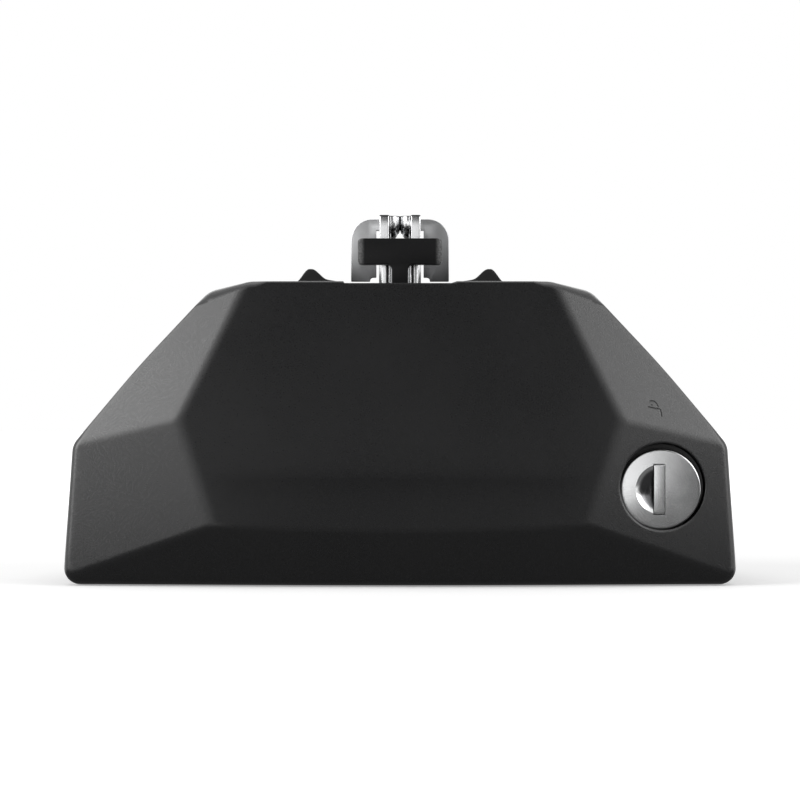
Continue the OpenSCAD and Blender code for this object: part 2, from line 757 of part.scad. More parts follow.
// the head stands just off the washer, so that the screw turns freely
module tension_screw() {
    color(zinc_steel) difference() {
        union() {
            along_y(0, screw_z, head_back - slide_gap - 0.5, screw_end - 1, screw_d);
            translate([0, screw_end - 1, screw_z]) rotate([-90, 0, 0])
                cylinder(d1 = screw_d, d2 = screw_d - 2, h = 1);
            along_y(0, screw_z, head_back - slide_gap - head_h + 0.6, head_back - slide_gap, head_d);
            translate([0, head_back - slide_gap - head_h, screw_z]) rotate([-90, 0, 0])
                cylinder(d1 = head_d - 1.2, d2 = head_d, h = 0.6);
        }
        along_y(0, screw_z, head_back - slide_gap - head_h - cut_over,
            head_back - slide_gap - head_h + socket_depth, socket_af / cos(30), $fn = 6);
    }
}

// push-on ring that keeps the screw in the bracket
module screw_clip() {
    color(dark_steel) difference() {
        along_y(0, screw_z, outer_face + slide_gap, outer_face + slide_gap + clip_t, screw_d + 5);
        along_y(0, screw_z, outer_face, outer_face + 3, screw_d + 2 * seat_gap);
    }
}

// outline of the slider's side plates in Y and Z
slider_front = fork_y - jaw_travel - 7;
module slider_side() {
    polygon([
        [slider_front, pin_z - 6], [slider_front + 3, pin_z - 8], [nut_y - 13, pin_z - 9],
        [nut_y - 11, screw_z - 8], [nut_y - 7, screw_z - 11], [nut_y + 9, screw_z - 11],
        [inner_face - 8, slider_bottom], [inner_face, slider_bottom],
        [inner_face, inner_jaw_h], [nut_y + 9, inner_jaw_h + 3],
        [fork_y + 6, slider_top], [slider_front + 3, slider_top], [slider_front, slider_top - 3]]);
}

// slot in which the cross pin rides, from its tightened end up to its loosened end
module inclined_slot() {
    width = pin_d + 2 * run_gap + 0.08;
    sideways(-span, span)
        translate([fork_y, pin_z]) rotate(-slot_angle) {
            circle(d = width);
            translate([-slot_run, 0]) circle(d = width);
            translate([-slot_run, -width / 2]) square([slot_run, width]);
        }
}

module clamp_slider() {
    color(zinc_steel) difference() {
        union() {
            for (x = [-slider_half, slider_half - slider_t])
                sideways(x, x + slider_t) slider_side();
            box([-slider_half, inner_face - slider_t, slider_bottom],
                [slider_half, inner_face, inner_jaw_h]);
        }
        inclined_slot();
        along_x(nut_y, screw_z, -span, span, nut_d + 2 * run_gap);
        for (z = rivet_heights)
            along_y(0, z, inner_face - 5, inner_face + 5, rivet_d + 2 * seat_gap);
    }
}

module barrel_nut() {
    color(zinc_steel) difference() {
        along_x(nut_y, screw_z, -slider_half, slider_half, nut_d);
        along_y(0, screw_z, nut_y - nut_d, nut_y + nut_d, screw_d + 2 * run_gap);
    }
}

rivet_heights = [slider_bottom + 6.5, inner_jaw_h - 5];

module inner_jaw() {
    color(zinc_steel) difference() {
        translate([0, inner_face, 0]) mirror([0, 1, 0]) jaw_plate(inner_jaw_h);
        for (z = rivet_heights)
            along_y(0, z, inner_face - 5, inner_face + 5, rivet_d + 2 * seat_gap);
    }
}

module jaw_rivets() {
    color(zinc_steel) for (z = rivet_heights) {
        along_y(0, z, inner_face - slider_t, inner_face + jaw_t, rivet_d);
        along_y(0, z, inner_face - slider_t - 1.4, inner_face - slider_t, rivet_d + 2.6);
        translate([0, inner_face + jaw_t, z]) rotate([-90, 0, 0]) {
            cylinder(d = rivet_d + 3.4, h = 0.8);
            translate([0, 0, 0.8]) cylinder(d1 = rivet_d + 3.4, d2 = rivet_d, h = 1);
        }
    }
}

module inner_jaw_liner() {
    color(black_rubber) translate([0, inner_face, 0]) mirror([0, 1, 0])
        sideways(-jaw_w / 2 + 1, jaw_w / 2 - 1) liner_section();
}

// bar clamp

// profile of a pressed dimple, as [radius, height] from the plate's face
dimple_h = fork_inner - 0.01;
dimple_steps = 8;
module dimple() {
    rotate_extrude() polygon(concat([[0, dimple_h], [0, -0.5], [dimple_base, -0.5]],
        [for (i = [0 : dimple_steps])
            [dimple_tip + (dimple_base - dimple_tip) * half_wave(i / dimple_steps),
                dimple_h * i / dimple_steps]]));
}

// one plate of the fork, on the right; its dimple meets the other plate's in the middle
module fork_plate() {
    color(zinc_steel) difference() {
        union() {
            intersection() {
                translate([0, 0, -span]) linear_extrude(2 * span)
                    round_rect([fork_inner, fork_y - fork_d / 2],
                        [fork_inner + fork_t, fork_y + fork_d / 2], 1.1);
                sideways(-span, span) {
                    round_rect([fork_y - fork_d / 2, pin_z], [fork_y + fork_d / 2, fork_top], 0.6);
                    translate([fork_y, pin_z]) circle(d = fork_d);
                    translate([fork_y - fork_d / 2, pin_z]) square([fork_d, 5]);
                }
            }
            intersection() {
                translate([fork_inner, fork_y, dimple_z]) rotate([0, -90, 0]) dimple();
                box([-span, -span, -span], [span, span, fork_top - 0.3]);
            }
        }
        // hollow that the press leaves on the outer face
        translate([fork_inner + fork_t, fork_y, dimple_z]) rotate([0, -90, 0])
            cylinder(r1 = dimple_base - 1.4, r2 = dimple_tip - 1, h = dimple_h - 0.4);
        along_x(fork_y, pin_z, 0, span, pin_d + 2 * seat_gap);
    }
}

module fork_plate_left() {
    mirror([1, 0, 0]) fork_plate();
}

module fork_plate_right() {
    fork_plate();
}

module fork_spacer() {
    color(dark_steel) difference() {
        along_x(fork_y, pin_z, -fork_inner, fork_inner, pin_d + 3);
        along_x(fork_y, pin_z, -span, span, pin_d + 2 * seat_gap);
    }
}

module clamp_plate() {
    slot_top = plate_z + plate_h - bridge_h;
    color(rolled_steel) upright(fork_y + fork_d / 2, fork_y + fork_d / 2 + plate_t) difference() {
        union() {
            round_rect([-plate_w / 2, plate_z], [plate_w / 2, plate_z + plate_h], plate_round);
            translate([-plate_w / 2, plate_z]) square([plate_w, plate_h / 2]);
        }
        translate([-slot_w / 2, plate_z - cut_over]) square([slot_w, slot_top - plate_z + cut_over]);
        round_rect([-notch_w / 2, plate_z - 3], [notch_w / 2, plate_z + notch_h], 0.8);
    }
}

module cross_pin() {
    color(zinc_steel) difference() {
        along_x(fork_y, pin_z, -pin_half, pin_half, pin_d);
        for (side = [-1, 1])
            difference() {
                along_x(fork_y, pin_z, side * clip_x - clip_t / 2, side * clip_x + clip_t / 2, pin_d + 1);
                along_x(fork_y, pin_z, -span, span, pin_d - 0.8);
            }
    }
}

clip_x = slider_half + slide_gap + clip_t / 2;

// open retaining clips in the pin's grooves
module pin_clips() {
    color(dark_steel) for (side = [-1, 1]) difference() {
        along_x(fork_y, pin_z, side * clip_x - clip_t / 2, side * clip_x + clip_t / 2, pin_d + 3.4);
        along_x(fork_y, pin_z, -span, span, pin_d - 0.8);
        box([-span, fork_y - 1.6, pin_z - span], [span, fork_y + 1.6, pin_z]);
    }
}

// cover and lock

module cover_outer() {
    rounded_form(cover_planes, 0, cover_round, crease_fn);
}

module front_cover() {
    well_x = lock_x;
    well_z = lock_z + well_rise;
    color(black_plastic) difference() {
        union() {
            difference() {
                intersection() {
                    cover_outer();
                    slab(-span, cover_back);
                }
                rounded_form(cover_planes, cover_wall, cover_round - cover_wall, 16);
                // open underside behind the flange, and room for the rail
                box([-cover_width / 2 + 6, y_front + 5 + flange_depth, -cut_over],
                    [cover_width / 2 - 6, span, 9]);
                box([-span, bracket_front - 1, -cut_over], [span, span, sole_z + 0.7]);
            }
            // inner ribs, tongues and the boss of the lock, trimmed to the outer form
            intersection() {
                rounded_form(cover_planes, cover_wall / 2, 1, 12);
                union() {
                    for (x = rib_x * [-2, -1, 1, 2])
                        box([x - cover_rib / 2, y_front, 0],
                            [x + cover_rib / 2, rib_back, seat_z - 12]);
                    for (side = [-1, 1])
                        box([side * tongue_x - tongue_w / 2, y_front, tongue_z - tongue_t / 2],
                            [side * tongue_x + tongue_w / 2, outer_face + 4, tongue_z + tongue_t / 2]);
                    along_y(well_x, well_z, y_front, well_floor + well_floor_t, well_d + 4);
                }
            }
        }
        along_y(well_x, well_z, y_front - cut_over, well_floor, well_d);
        along_y(lock_x, lock_z, well_floor - cut_over, span / 4, housing_d + 2 * seat_gap);
        // shallow dip in the top
        box([-dip_half, -span, cover_height - dip_depth], [dip_half, span, span]);
    }
}

rib_back = bracket_front - 6;

module lock_housing() {
    color(dark_steel) difference() {
        union() {
            along_y(lock_x, lock_z, housing_front, well_floor, lock_d);
            along_y(lock_x, lock_z, well_floor, housing_back, housing_d);
        }
        along_y(lock_x, lock_z, housing_front - cut_over, housing_back + cut_over,
            barrel_d + 2 * run_gap);
        // groove for the clip
        difference() {
            along_y(lock_x, lock_z, clip_y, clip_y + clip_t, housing_d + 1);
            along_y(lock_x, lock_z, clip_y - 1, clip_y + clip_t + 1, housing_d - 1);
        }
    }
}

clip_y = well_floor + well_floor_t;

module housing_clip() {
    color(zinc_steel) difference() {
        along_y(lock_x, lock_z, clip_y, clip_y + clip_t, housing_d + 5);
        along_y(lock_x, lock_z, clip_y - 1, clip_y + clip_t + 1, housing_d - 1);
        box([lock_x - 4, clip_y - 1, lock_z - span], [lock_x + 4, clip_y + clip_t + 1, lock_z]);
    }
}

module lock_plug() {
    ball_r = (pow(scoop_r, 2) + pow(scoop_depth, 2)) / (2 * scoop_depth);
    left = lock_x - shutter_left - shutter_gap;
    right = lock_x + shutter_right + shutter_gap;
    half = shutter_h / 2 + shutter_gap;
    color(chrome_face) difference() {
        union() {
            translate([lock_x, lock_face, lock_z]) rotate([-90, 0, 0])
                cylinder(d1 = lock_d - 2 * lock_bevel, d2 = lock_d, h = lock_bevel);
            along_y(lock_x, lock_z, lock_face + lock_bevel, lock_step, lock_d);
            along_y(lock_x, lock_z, lock_step, housing_back + 0.5, barrel_d);
            along_y(lock_x, lock_z, housing_back + 0.5, cam_y, neck_d);
            box([lock_x - cam_sq / 2, cam_y - 0.1, lock_z - cam_sq / 2],
                [lock_x + cam_sq / 2, cam_y + cam_t, lock_z + cam_sq / 2]);
            along_y(lock_x, lock_z, cam_y + cam_t - 0.1, cam_y + cam_t + cam_nut_t, stub_d);
        }
        // pocket behind the shutter, keyway and the shutter's pin holes
        box([left, lock_face - cut_over, lock_z - half],
            [right, lock_face + shutter_pocket, lock_z + half]);
        box([lock_x - 1.2, lock_face, lock_z - 4.3], [lock_x + 0.9, lock_face + 15, lock_z + 4.3]);
        translate([lock_x + hinge_x, lock_face + knuckle_r, lock_z - half - 1.2])
            cylinder(d = hinge_pin_d + 2 * run_gap, h = 2 * half + 2.4);
        // polished scoop, open only beside the shutter
        intersection() {
            translate([lock_x, lock_face - ball_r + scoop_depth, lock_z]) sphere(ball_r, $fn = 96);
            box([lock_x - span, -span, -span], [left + 0.3, span, span]);
        }
    }
}

module lock_shutter() {
    color(chrome_face) difference() {
        translate([lock_x, lock_face, lock_z - shutter_h / 2]) linear_extrude(shutter_h) {
            translate([-shutter_left, 0]) square([shutter_left + hinge_x, shutter_t]);
            translate([hinge_x, knuckle_r]) circle(knuckle_r, $fn = 32);
        }
        translate([lock_x + hinge_x, lock_face + knuckle_r, 0])
            cylinder(d = hinge_pin_d + seat_gap, h = span);
    }
}

module shutter_pin() {
    half = shutter_h / 2 + shutter_gap + 1;
    color(dark_steel) translate([lock_x + hinge_x, lock_face + knuckle_r, lock_z - half])
        cylinder(d = hinge_pin_d, h = 2 * half);
}

module lock_cam() {
    color(zinc_steel) difference() {
        union() {
            along_y(lock_x, lock_z, cam_y, cam_y + cam_t, cam_hub_d);
            upright(cam_y, cam_y + cam_t)
                round_rect([lock_x - cam_w / 2, lock_z - cam_l / 2],
                    [lock_x + cam_w / 2, lock_z + cam_l / 2], 2);
        }
        box([lock_x - cam_sq / 2, cam_y - 1, lock_z - cam_sq / 2],
            [lock_x + cam_sq / 2, cam_y + cam_t + 1, lock_z + cam_sq / 2]);
    }
}

module cam_nut() {
    color(zinc_steel) difference() {
        along_y(lock_x, lock_z, cam_y + cam_t, cam_y + cam_t + cam_nut_t, 9 / cos(30), $fn = 6);
        along_y(lock_x, lock_z, cam_y, cam_y + cam_t + cam_nut_t + 1, stub_d + 2 * seat_gap);
    }
}

foot_base();
saddle_pad_left();
saddle_pad_right();
sole_pad();
t_guide();
guide_screw();
front_bracket();
bracket_screws();
screw_washer();
outer_jaw_liner();
front_cover();
lock_housing();
housing_clip();
lock_plug();
lock_cam();
cam_nut();
lock_shutter();
shutter_pin();
tension_screw();
screw_clip();
clamp_slider();
barrel_nut();
inner_jaw();
jaw_rivets();
inner_jaw_liner();
fork_plate_left();
fork_plate_right();
fork_spacer();
clamp_plate();
cross_pin();
pin_clips();
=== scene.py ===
# Studio scene of a roof bar foot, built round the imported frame.
# Piece sizes are written in millimetres, as in the part, and scaled to metres when a mesh is made.
import math

import bmesh
import bpy
import numpy as np
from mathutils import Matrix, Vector
from mathutils.geometry import delaunay_2d_cdt


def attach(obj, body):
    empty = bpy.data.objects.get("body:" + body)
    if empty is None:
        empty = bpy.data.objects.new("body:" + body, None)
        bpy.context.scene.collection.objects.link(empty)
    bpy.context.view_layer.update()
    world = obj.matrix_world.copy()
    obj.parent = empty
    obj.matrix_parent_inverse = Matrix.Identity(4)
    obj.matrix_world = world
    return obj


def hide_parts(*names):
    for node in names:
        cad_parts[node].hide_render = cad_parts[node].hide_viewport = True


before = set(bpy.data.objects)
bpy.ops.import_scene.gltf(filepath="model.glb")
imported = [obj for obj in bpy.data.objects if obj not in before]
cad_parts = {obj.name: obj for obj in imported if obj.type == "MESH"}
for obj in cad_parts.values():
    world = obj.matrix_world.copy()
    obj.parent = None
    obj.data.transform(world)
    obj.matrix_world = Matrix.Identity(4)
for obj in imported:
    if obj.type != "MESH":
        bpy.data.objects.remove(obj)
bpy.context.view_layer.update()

mm = 0.001
print("frame loaded")


class Wire:  # an output socket, so that shader maths reads as Python
    def __init__(self, board, socket):
        self.board = board
        self.socket = socket

    def join(self, operation, first, second):
        return self.board.node("ShaderNodeMath", {"operation": operation}, {0: first, 1: second})

    def __add__(self, other):
        return self.join("ADD", self, other)

    def __radd__(self, other):
        return self.join("ADD", other, self)

    def __sub__(self, other):
        return self.join("SUBTRACT", self, other)

    def __rsub__(self, other):
        return self.join("SUBTRACT", other, self)

    def __mul__(self, other):
        return self.join("MULTIPLY", self, other)

    def __rmul__(self, other):
        return self.join("MULTIPLY", other, self)

    def size(self):  # the value without its sign
        return self.join("ABSOLUTE", self, 0.0)

    def other(self, name):  # another output of the same node
        return Wire(self.board, self.socket.node.outputs[name])


class Board:  # the nodes of one material or of the world
    def __init__(self, owner):
        owner.use_nodes = True
        self.owner = owner
        self.tree = owner.node_tree
        self.tree.nodes.clear()

    def node(self, kind, settings, inputs, output=0):
        made = self.tree.nodes.new(kind)
        for name, value in settings.items():
            if name == "stops":
                for stop, (place, colour) in zip(made.color_ramp.elements, value):
                    stop.position = place
                    stop.color = colour
            else:
                setattr(made, name, value)
        for name, value in inputs.items():
            if isinstance(value, Wire):
                self.tree.links.new(value.socket, made.inputs[name])
            else:
                made.inputs[name].default_value = value
        return Wire(self, made.outputs[output]) if made.outputs else None

    def point(self):  # place on the piece at rest, in millimetres
        place = self.node("ShaderNodeTexCoord", {}, {}, "Object")
        return self.node("ShaderNodeVectorMath", {"operation": "SCALE"}, {0: place, "Scale": 1000})

    def part(self, point, axis):
        return self.node("ShaderNodeSeparateXYZ", {}, {0: point}, axis)

    def stretched(self, point, turn, stretch):  # a point turned by degrees and then stretched
        radians = [math.radians(angle) for angle in turn]
        return self.node("ShaderNodeMapping", {}, {"Vector": point, "Rotation": radians, "Scale": stretch})

    def noise(self, point, scale, detail=2.0, roughness=0.5):
        return self.node("ShaderNodeTexNoise", {},
                         {"Vector": point, "Scale": scale, "Detail": detail, "Roughness": roughness}, "Fac")

    def between(self, value, low, high, start=0.0, end=1.0):  # value from low..high to start..end
        return self.node("ShaderNodeMapRange", {"interpolation_type": "SMOOTHSTEP"},
                         {"Value": value, "From Min": low, "From Max": high, "To Min": start, "To Max": end})

    def blend(self, share, first, second):  # two colours
        return self.node("ShaderNodeMix", {"data_type": "RGBA"}, {0: share, 6: first, 7: second}, 2)

    def bump(self, height, depth, normal=None):  # depth in millimetres
        inputs = {"Height": height, "Distance": depth * mm, "Strength": 1.0}
        if normal:
            inputs["Normal"] = normal
        return self.node("ShaderNodeBump", {}, inputs)

    def roundEdges(self, radius):  # softened normals, radius in millimetres
        return self.node("ShaderNodeBevel", {"samples": 6}, {"Radius": radius * mm})

    def edges(self, rounded, low, high):  # 1 on the edges that were rounded, 0 elsewhere
        flat = self.node("ShaderNodeNewGeometry", {}, {}, "Normal")
        facing = self.node("ShaderNodeVectorMath", {"operation": "DOT_PRODUCT"},
                           {0: flat, 1: rounded}, "Value")
        return self.between(1 - facing, low, high)

    def surface(self, colour, roughness, normal, **fixed):
        shader = self.node("ShaderNodeBsdfPrincipled", {},
                           {"Base Color": colour, "Roughness": roughness, "Normal": normal}
                           | {name.replace("_", " "): value for name, value in fixed.items()})
        self.node("ShaderNodeOutputMaterial", {}, {"Surface": shader})
        return self.owner


def newBoard(name):
    return Board(bpy.data.materials.new(name))


def mouldedPlastic(name, look):
    board = newBoard(name)
    point = board.point()
    rounded = board.roundEdges(look["edge"])
    grain = board.noise(point, look["grain"], 3.0, 0.6)
    clouds = board.noise(point, 0.035, 3.0)
    flecks = board.between(board.noise(point, look["grain"] * 0.6, 1.0), 0.62, 0.74)
    worn = board.edges(rounded, 0.002, 0.05) * board.between(board.noise(point, 0.5, 3.0), 0.35, 0.7)
    shade = board.blend(clouds, look["dark"], look["light"])
    shade = board.blend(flecks * 0.35, shade, look["fleck"])
    shade = board.blend(worn * 0.4, shade, look["fleck"])
    if "endX" in look:  # painted highlight: paler towards its two ends, broken up by the grain
        end = board.between(board.part(point, "X").size(), *look["endX"])
        shade = board.blend(end * board.between(grain, 0.3, 0.7, 0.4, 1.0), shade, look["paintedEndHighlight"])
    rough = look["roughness"] + look["speckle"] * (grain - 0.5) + 0.06 * (clouds - 0.5)
    height = grain + 0.5 * board.noise(point, look["grain"] * 2.3, 1.0)
    return board.surface(shade, rough, board.bump(height, look["bump"], rounded),
                         Specular_IOR_Level=look["gloss"])


def softRubber(name, look):
    board = newBoard(name)
    point = board.point()
    rounded = board.roundEdges(look["edge"])
    grain = board.noise(point, 5.0, 2.0, 0.6)
    dust = board.between(board.noise(point, 0.12, 4.0, 0.65), 0.45, 0.75)
    shade = board.blend(dust * 0.5, look["dark"], look["dusty"])
    rough = look["roughness"] + 0.08 * (dust - 0.5)
    return board.surface(shade, rough, board.bump(grain, look["bump"], rounded),
                         Specular_IOR_Level=0.35)


def platedSteel(name, look):
    board = newBoard(name)
    point = board.point()
    rounded = board.roundEdges(look["edge"]) if look["edge"] else None  # no need where edges are modelled
    along = board.stretched(point, look["turn"], look["stretch"])
    drawn = board.noise(along, 1.0, 4.0, 0.65)
    patches = board.noise(point, 0.22, 4.0, 0.6)
    pits = board.between(board.noise(point, 3.0, 2.0), 0.62, 0.78)
    shade = board.blend(patches, look["dark"], look["light"])
    shade = board.blend(drawn * 0.25, shade, look["dark"])
    if rounded:
        shade = board.blend(board.edges(rounded, 0.004, 0.08) * 0.5, shade, look["bright"])
    shade = board.blend(pits * look["pits"], shade, look["pitted"])
    if "paintedShade" in look:  # painted shade: darker downwards and to the right
        up = board.between(board.part(point, "Z"), *look["paintedShadeZ"])
        right = board.between(board.part(point, "X"), *look["paintedShadeX"])
        shade = board.blend((1 - up) * look["paintedShadeLow"], shade, look["paintedShade"])
        shade = board.blend(right * look["paintedShadeRight"], shade, look["paintedShade"])
    if "recessShadeY" in look:  # painted shade: darker where it lies deeper than the face, in the scoop and pocket
        shade = board.blend(board.between(board.part(point, "Y"), *look["recessShadeY"]), shade, look["recessShade"])
    if "cutZ" in look:  # darker band along the top
        shade = board.blend(board.between(board.part(point, "Z"), *look["cutZ"]), shade, look["cut"])
    rough = look["roughness"] + look["drawnRough"] * (drawn - 0.5) + 0.1 * (patches - 0.5)
    height = drawn + 0.3 * patches
    return board.surface(shade, rough, board.bump(height, look["bump"], rounded), Metallic=look["metal"])


finishes = {
    "cover": {"dark": (0.006, 0.006, 0.0065, 1), "light": (0.0085, 0.0085, 0.009, 1),
              "fleck": (0.015, 0.015, 0.0155, 1), "roughness": 0.3, "gloss": 0.65, "grain": 3.4,
              "speckle": 0.22, "bump": 0.018, "edge": 0.2},
    "base": {"dark": (0.008, 0.008, 0.0085, 1), "light": (0.013, 0.013, 0.0135, 1),
             "fleck": (0.03, 0.03, 0.03, 1), "roughness": 0.5, "gloss": 0.5, "grain": 2.0, "speckle": 0.1,
             "bump": 0.025, "edge": 0.35},
    # the guide's paler head ends are a painted highlight
    "guide": {"dark": (0.005, 0.005, 0.0055, 1), "light": (0.008, 0.008, 0.0085, 1),
              "fleck": (0.02, 0.02, 0.02, 1), "roughness": 0.42, "gloss": 0.22, "grain": 3.2, "speckle": 0.1,
              "bump": 0.015, "edge": 0.4, "endX": (8.9, 10.4), "paintedEndHighlight": (0.25, 0.25, 0.25, 1)},
    "rubber": {"dark": (0.006, 0.006, 0.006, 1), "dusty": (0.02, 0.0195, 0.019, 1),
               "roughness": 0.62, "bump": 0.03, "edge": 0.25},
    "zinc": {"dark": (0.66, 0.67, 0.69, 1), "light": (0.88, 0.885, 0.89, 1), "bright": (0.92, 0.92, 0.93, 1),
             "pitted": (0.3, 0.3, 0.31, 1), "pits": 0.25, "roughness": 0.2, "drawnRough": 0.12,
             "bump": 0.012, "edge": 0.25, "metal": 1.0, "turn": (0, 0, 0), "stretch": (3.0, 3.0, 0.25)},
    "fork": {"dark": (0.7, 0.705, 0.715, 1), "light": (0.9, 0.905, 0.91, 1), "bright": (0.94, 0.94, 0.95, 1),
             "pitted": (0.5, 0.5, 0.51, 1), "pits": 0.12, "roughness": 0.2, "drawnRough": 0.05,
             "bump": 0.001, "edge": 0, "metal": 1.0, "turn": (0, 0, 0), "stretch": (3.0, 3.0, 0.25),
             "cutZ": (93.5, 93.65), "cut": (0.05, 0.05, 0.052, 1)},
    # the rolled steel carries painted shade, darker downwards and to the right
    "rolled": {"dark": (0.7, 0.705, 0.715, 1), "light": (0.86, 0.865, 0.875, 1),
               "bright": (0.9, 0.9, 0.91, 1), "pitted": (0.3, 0.3, 0.31, 1), "pits": 0.35,
               "roughness": 0.36, "drawnRough": 0.12, "bump": 0.008, "edge": 0, "metal": 1.0,
               "turn": (0, 38, 0), "stretch": (0.22, 3.0, 3.4), "paintedShade": (0.09, 0.09, 0.093, 1),
               "paintedShadeZ": (76.5, 93.5), "paintedShadeX": (-9, 12), "paintedShadeLow": 0.74, "paintedShadeRight": 0.36},
    # the chrome carries painted shade in the lock's recesses
    "chrome": {"dark": (0.78, 0.785, 0.79, 1), "light": (0.93, 0.935, 0.94, 1),
               "bright": (0.96, 0.96, 0.96, 1), "pitted": (0.6, 0.6, 0.61, 1), "pits": 0.08,
               "roughness": 0.2, "drawnRough": 0.08, "bump": 0.002, "edge": 0, "metal": 1.0,
               "turn": (0, 0, 0), "stretch": (0.3, 4.0, 4.0),
               "recessShadeY": (-35.85, -35.35), "recessShade": (0.16, 0.16, 0.165, 1)},
    "dark": {"dark": (0.05, 0.05, 0.052, 1), "light": (0.1, 0.1, 0.103, 1), "bright": (0.3, 0.3, 0.31, 1),
             "pitted": (0.03, 0.03, 0.03, 1), "pits": 0.3, "roughness": 0.36, "drawnRough": 0.1,
             "bump": 0.01, "edge": 0.15, "metal": 0.9, "turn": (0, 0, 0), "stretch": (3.0, 3.0, 0.3)},
}
coverPlastic = mouldedPlastic("cover_plastic", finishes["cover"])
basePlastic = mouldedPlastic("base_plastic", finishes["base"])
guidePlastic = mouldedPlastic("guide_plastic", finishes["guide"])
rubber = softRubber("rubber", finishes["rubber"])
zinc = platedSteel("zinc_plated_steel", finishes["zinc"])
forkSteel = platedSteel("fork_steel", finishes["fork"])
rolled = platedSteel("rolled_steel", finishes["rolled"])
chrome = platedSteel("brushed_chrome", finishes["chrome"])
darkSteel = platedSteel("dark_steel", finishes["dark"])

dressing = {
    basePlastic: ["foot_base"],
    guidePlastic: ["t_guide"],
    rubber: ["saddle_pad_left", "saddle_pad_right", "sole_pad", "outer_jaw_liner", "inner_jaw_liner"],
    zinc: ["guide_screw", "front_bracket", "bracket_screws", "screw_washer", "housing_clip", "lock_cam",
           "cam_nut", "tension_screw", "clamp_slider", "barrel_nut", "inner_jaw", "jaw_rivets",
           "fork_plate_left", "fork_plate_right", "cross_pin"],
    rolled: ["clamp_plate"],
    chrome: ["lock_plug", "lock_shutter"],
    darkSteel: ["lock_housing", "shutter_pin", "screw_clip", "fork_spacer", "pin_clips"],
}
for finish, names in dressing.items():
    for name in names:
        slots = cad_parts[name].data.materials
        slots.clear()
        slots.append(finish)
print("frame dressed")


def newPiece(name, parts, material, body, smoothAngle=35):
    mesh = bpy.data.meshes.new(name)
    build = bmesh.new()
    for points, faces in parts:  # points in millimetres
        made = [build.verts.new(Vector(point) * mm) for point in points]
        for face in faces:
            build.faces.new([made[i] for i in face])
    bmesh.ops.remove_doubles(build, verts=build.verts, dist=0.002 * mm)
    bmesh.ops.dissolve_degenerate(build, edges=build.edges, dist=0.0005 * mm)
    bmesh.ops.delete(build, geom=[vertex for vertex in build.verts if not vertex.link_faces], context="VERTS")
    build.to_mesh(mesh)
    build.free()
    piece = bpy.data.objects.new(name, mesh)
    bpy.context.scene.collection.objects.link(piece)
    mesh.materials.append(material)
    smooth(piece, smoothAngle)
    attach(piece, body)
    return piece


def smooth(piece, angle):
    piece.data.polygons.foreach_set("use_smooth", [True] * len(piece.data.polygons))
    piece.data.set_sharp_from_angle(angle=math.radians(angle))


def settle(piece, smoothAngle):  # apply the modifiers
    bpy.context.view_layer.update()
    solved = bpy.data.meshes.new_from_object(piece.evaluated_get(bpy.context.evaluated_depsgraph_get()))
    piece.modifiers.clear()
    piece.data = solved
    smooth(piece, smoothAngle)


def strip(rows):  # rows of points, wound so that the first row lies inside the second
    count = len(rows[0])
    points = [point for row in rows for point in row]
    faces = []
    for j in range(len(rows) - 1):
        for i in range(count):
            a, b = j * count + i, j * count + (i + 1) % count
            faces.append((a, a + count, b + count, b))
    return points, faces


cover = {
    "width": 168, "height": 75.8, "lift": 0.3, "lean": 2.2, "waistZ": 35,
    "flankHalf": 47.8, "flankZ": 73.3, "flankBulge": 0.7, "topHalf": 37.2,
    "frontY": -48, "frontLean": 11.3, "chinLean": 26.6, "cheekSweep": 17.7,
    "chinZ": 14, "chinRise": 1.1, "chinHalf": 46.1, "chinSweep": 0.099, "crown": 1.7,
    "cheekHalf": 54.8, "cheekZ": 41.3, "browHalf": 38.8, "browZ": 74.6,
    "browBlend": 0.2, "centreBlend": 0.46, "chinBlend": 0.75,  # how softly the facets meet
    "draft": 1, "outlineY": -34, "rearY": -15, "flangeY": -29, "flangeHalf": 78,
    "sideEndY": -25.8, "sideEndZ": 9.3, "wall": 2.4,
    "dipHalf": 14, "dipDepth": 0.5,
    "wellX": 65.15, "wellZ": 24.7, "wellRadius": 10.8, "wellRound": 0.4, "wellWall": 2.0, "wellFloorY": -32.4,
    "lockZ": 24.0, "housingRadius": 8.62,
    "ribs": (-36, -18, 18, 36), "ribBack": -30.8, "ribTop": 63.5, "ribThick": 1.6,
    "tongueX": 31, "tongueHalf": 6, "tongueZ": 66.6, "tongueBack": -18,
    "spacing": 0.85, "flatSpacing": 1.3, "creaseSpacing": 0.45,
}
crownRate = cover["crown"] / cover["chinHalf"] ** 2
frontSlope = math.tan(math.radians(cover["frontLean"]))
chinSlope = math.tan(math.radians(cover["chinLean"]))
sweepSlope = math.tan(math.radians(cover["cheekSweep"]))


def centreFacet(x, z):
    return cover["frontY"] + crownRate * x ** 2 + frontSlope * (z - cover["chinZ"])


def chinFacet(x, z):  # follows the middle's crown as far as the corner, and runs on straight beside it
    within = np.minimum(x, cover["chinHalf"])
    crease = cover["chinZ"] + cover["chinRise"] * (within / cover["chinHalf"]) ** 2
    return centreFacet(within, crease) + cover["chinSweep"] * (x - within) + chinSlope * (crease - z)


chinCorner = (cover["chinHalf"], cover["chinZ"] + cover["chinRise"])
cheekRise = (centreFacet(cover["cheekHalf"], cover["cheekZ"]) - centreFacet(*chinCorner)
             - sweepSlope * (cover["cheekHalf"] - cover["chinHalf"])) / (cover["cheekZ"] - chinCorner[1])


def cheekFacet(x, z):
    return centreFacet(*chinCorner) + sweepSlope * (x - chinCorner[0]) + cheekRise * (z - chinCorner[1])


waist = (cover["width"] / 2 - cover["lean"], cover["waistZ"])
browCorners = [(cover["cheekHalf"], cover["cheekZ"]), waist, (cover["browHalf"], cover["browZ"])]
browDepths = [centreFacet(*browCorners[0]), cheekFacet(*waist), centreFacet(*browCorners[2])]
browRates = np.linalg.solve([[x, z, 1] for x, z in browCorners], browDepths)


def blended(first, second, width):  # the further back of two facets, rounded where they meet
    near = np.clip(1 - np.abs(first - second) / width, 0, None)
    return np.maximum(first, second) + width * near ** 2 / 4


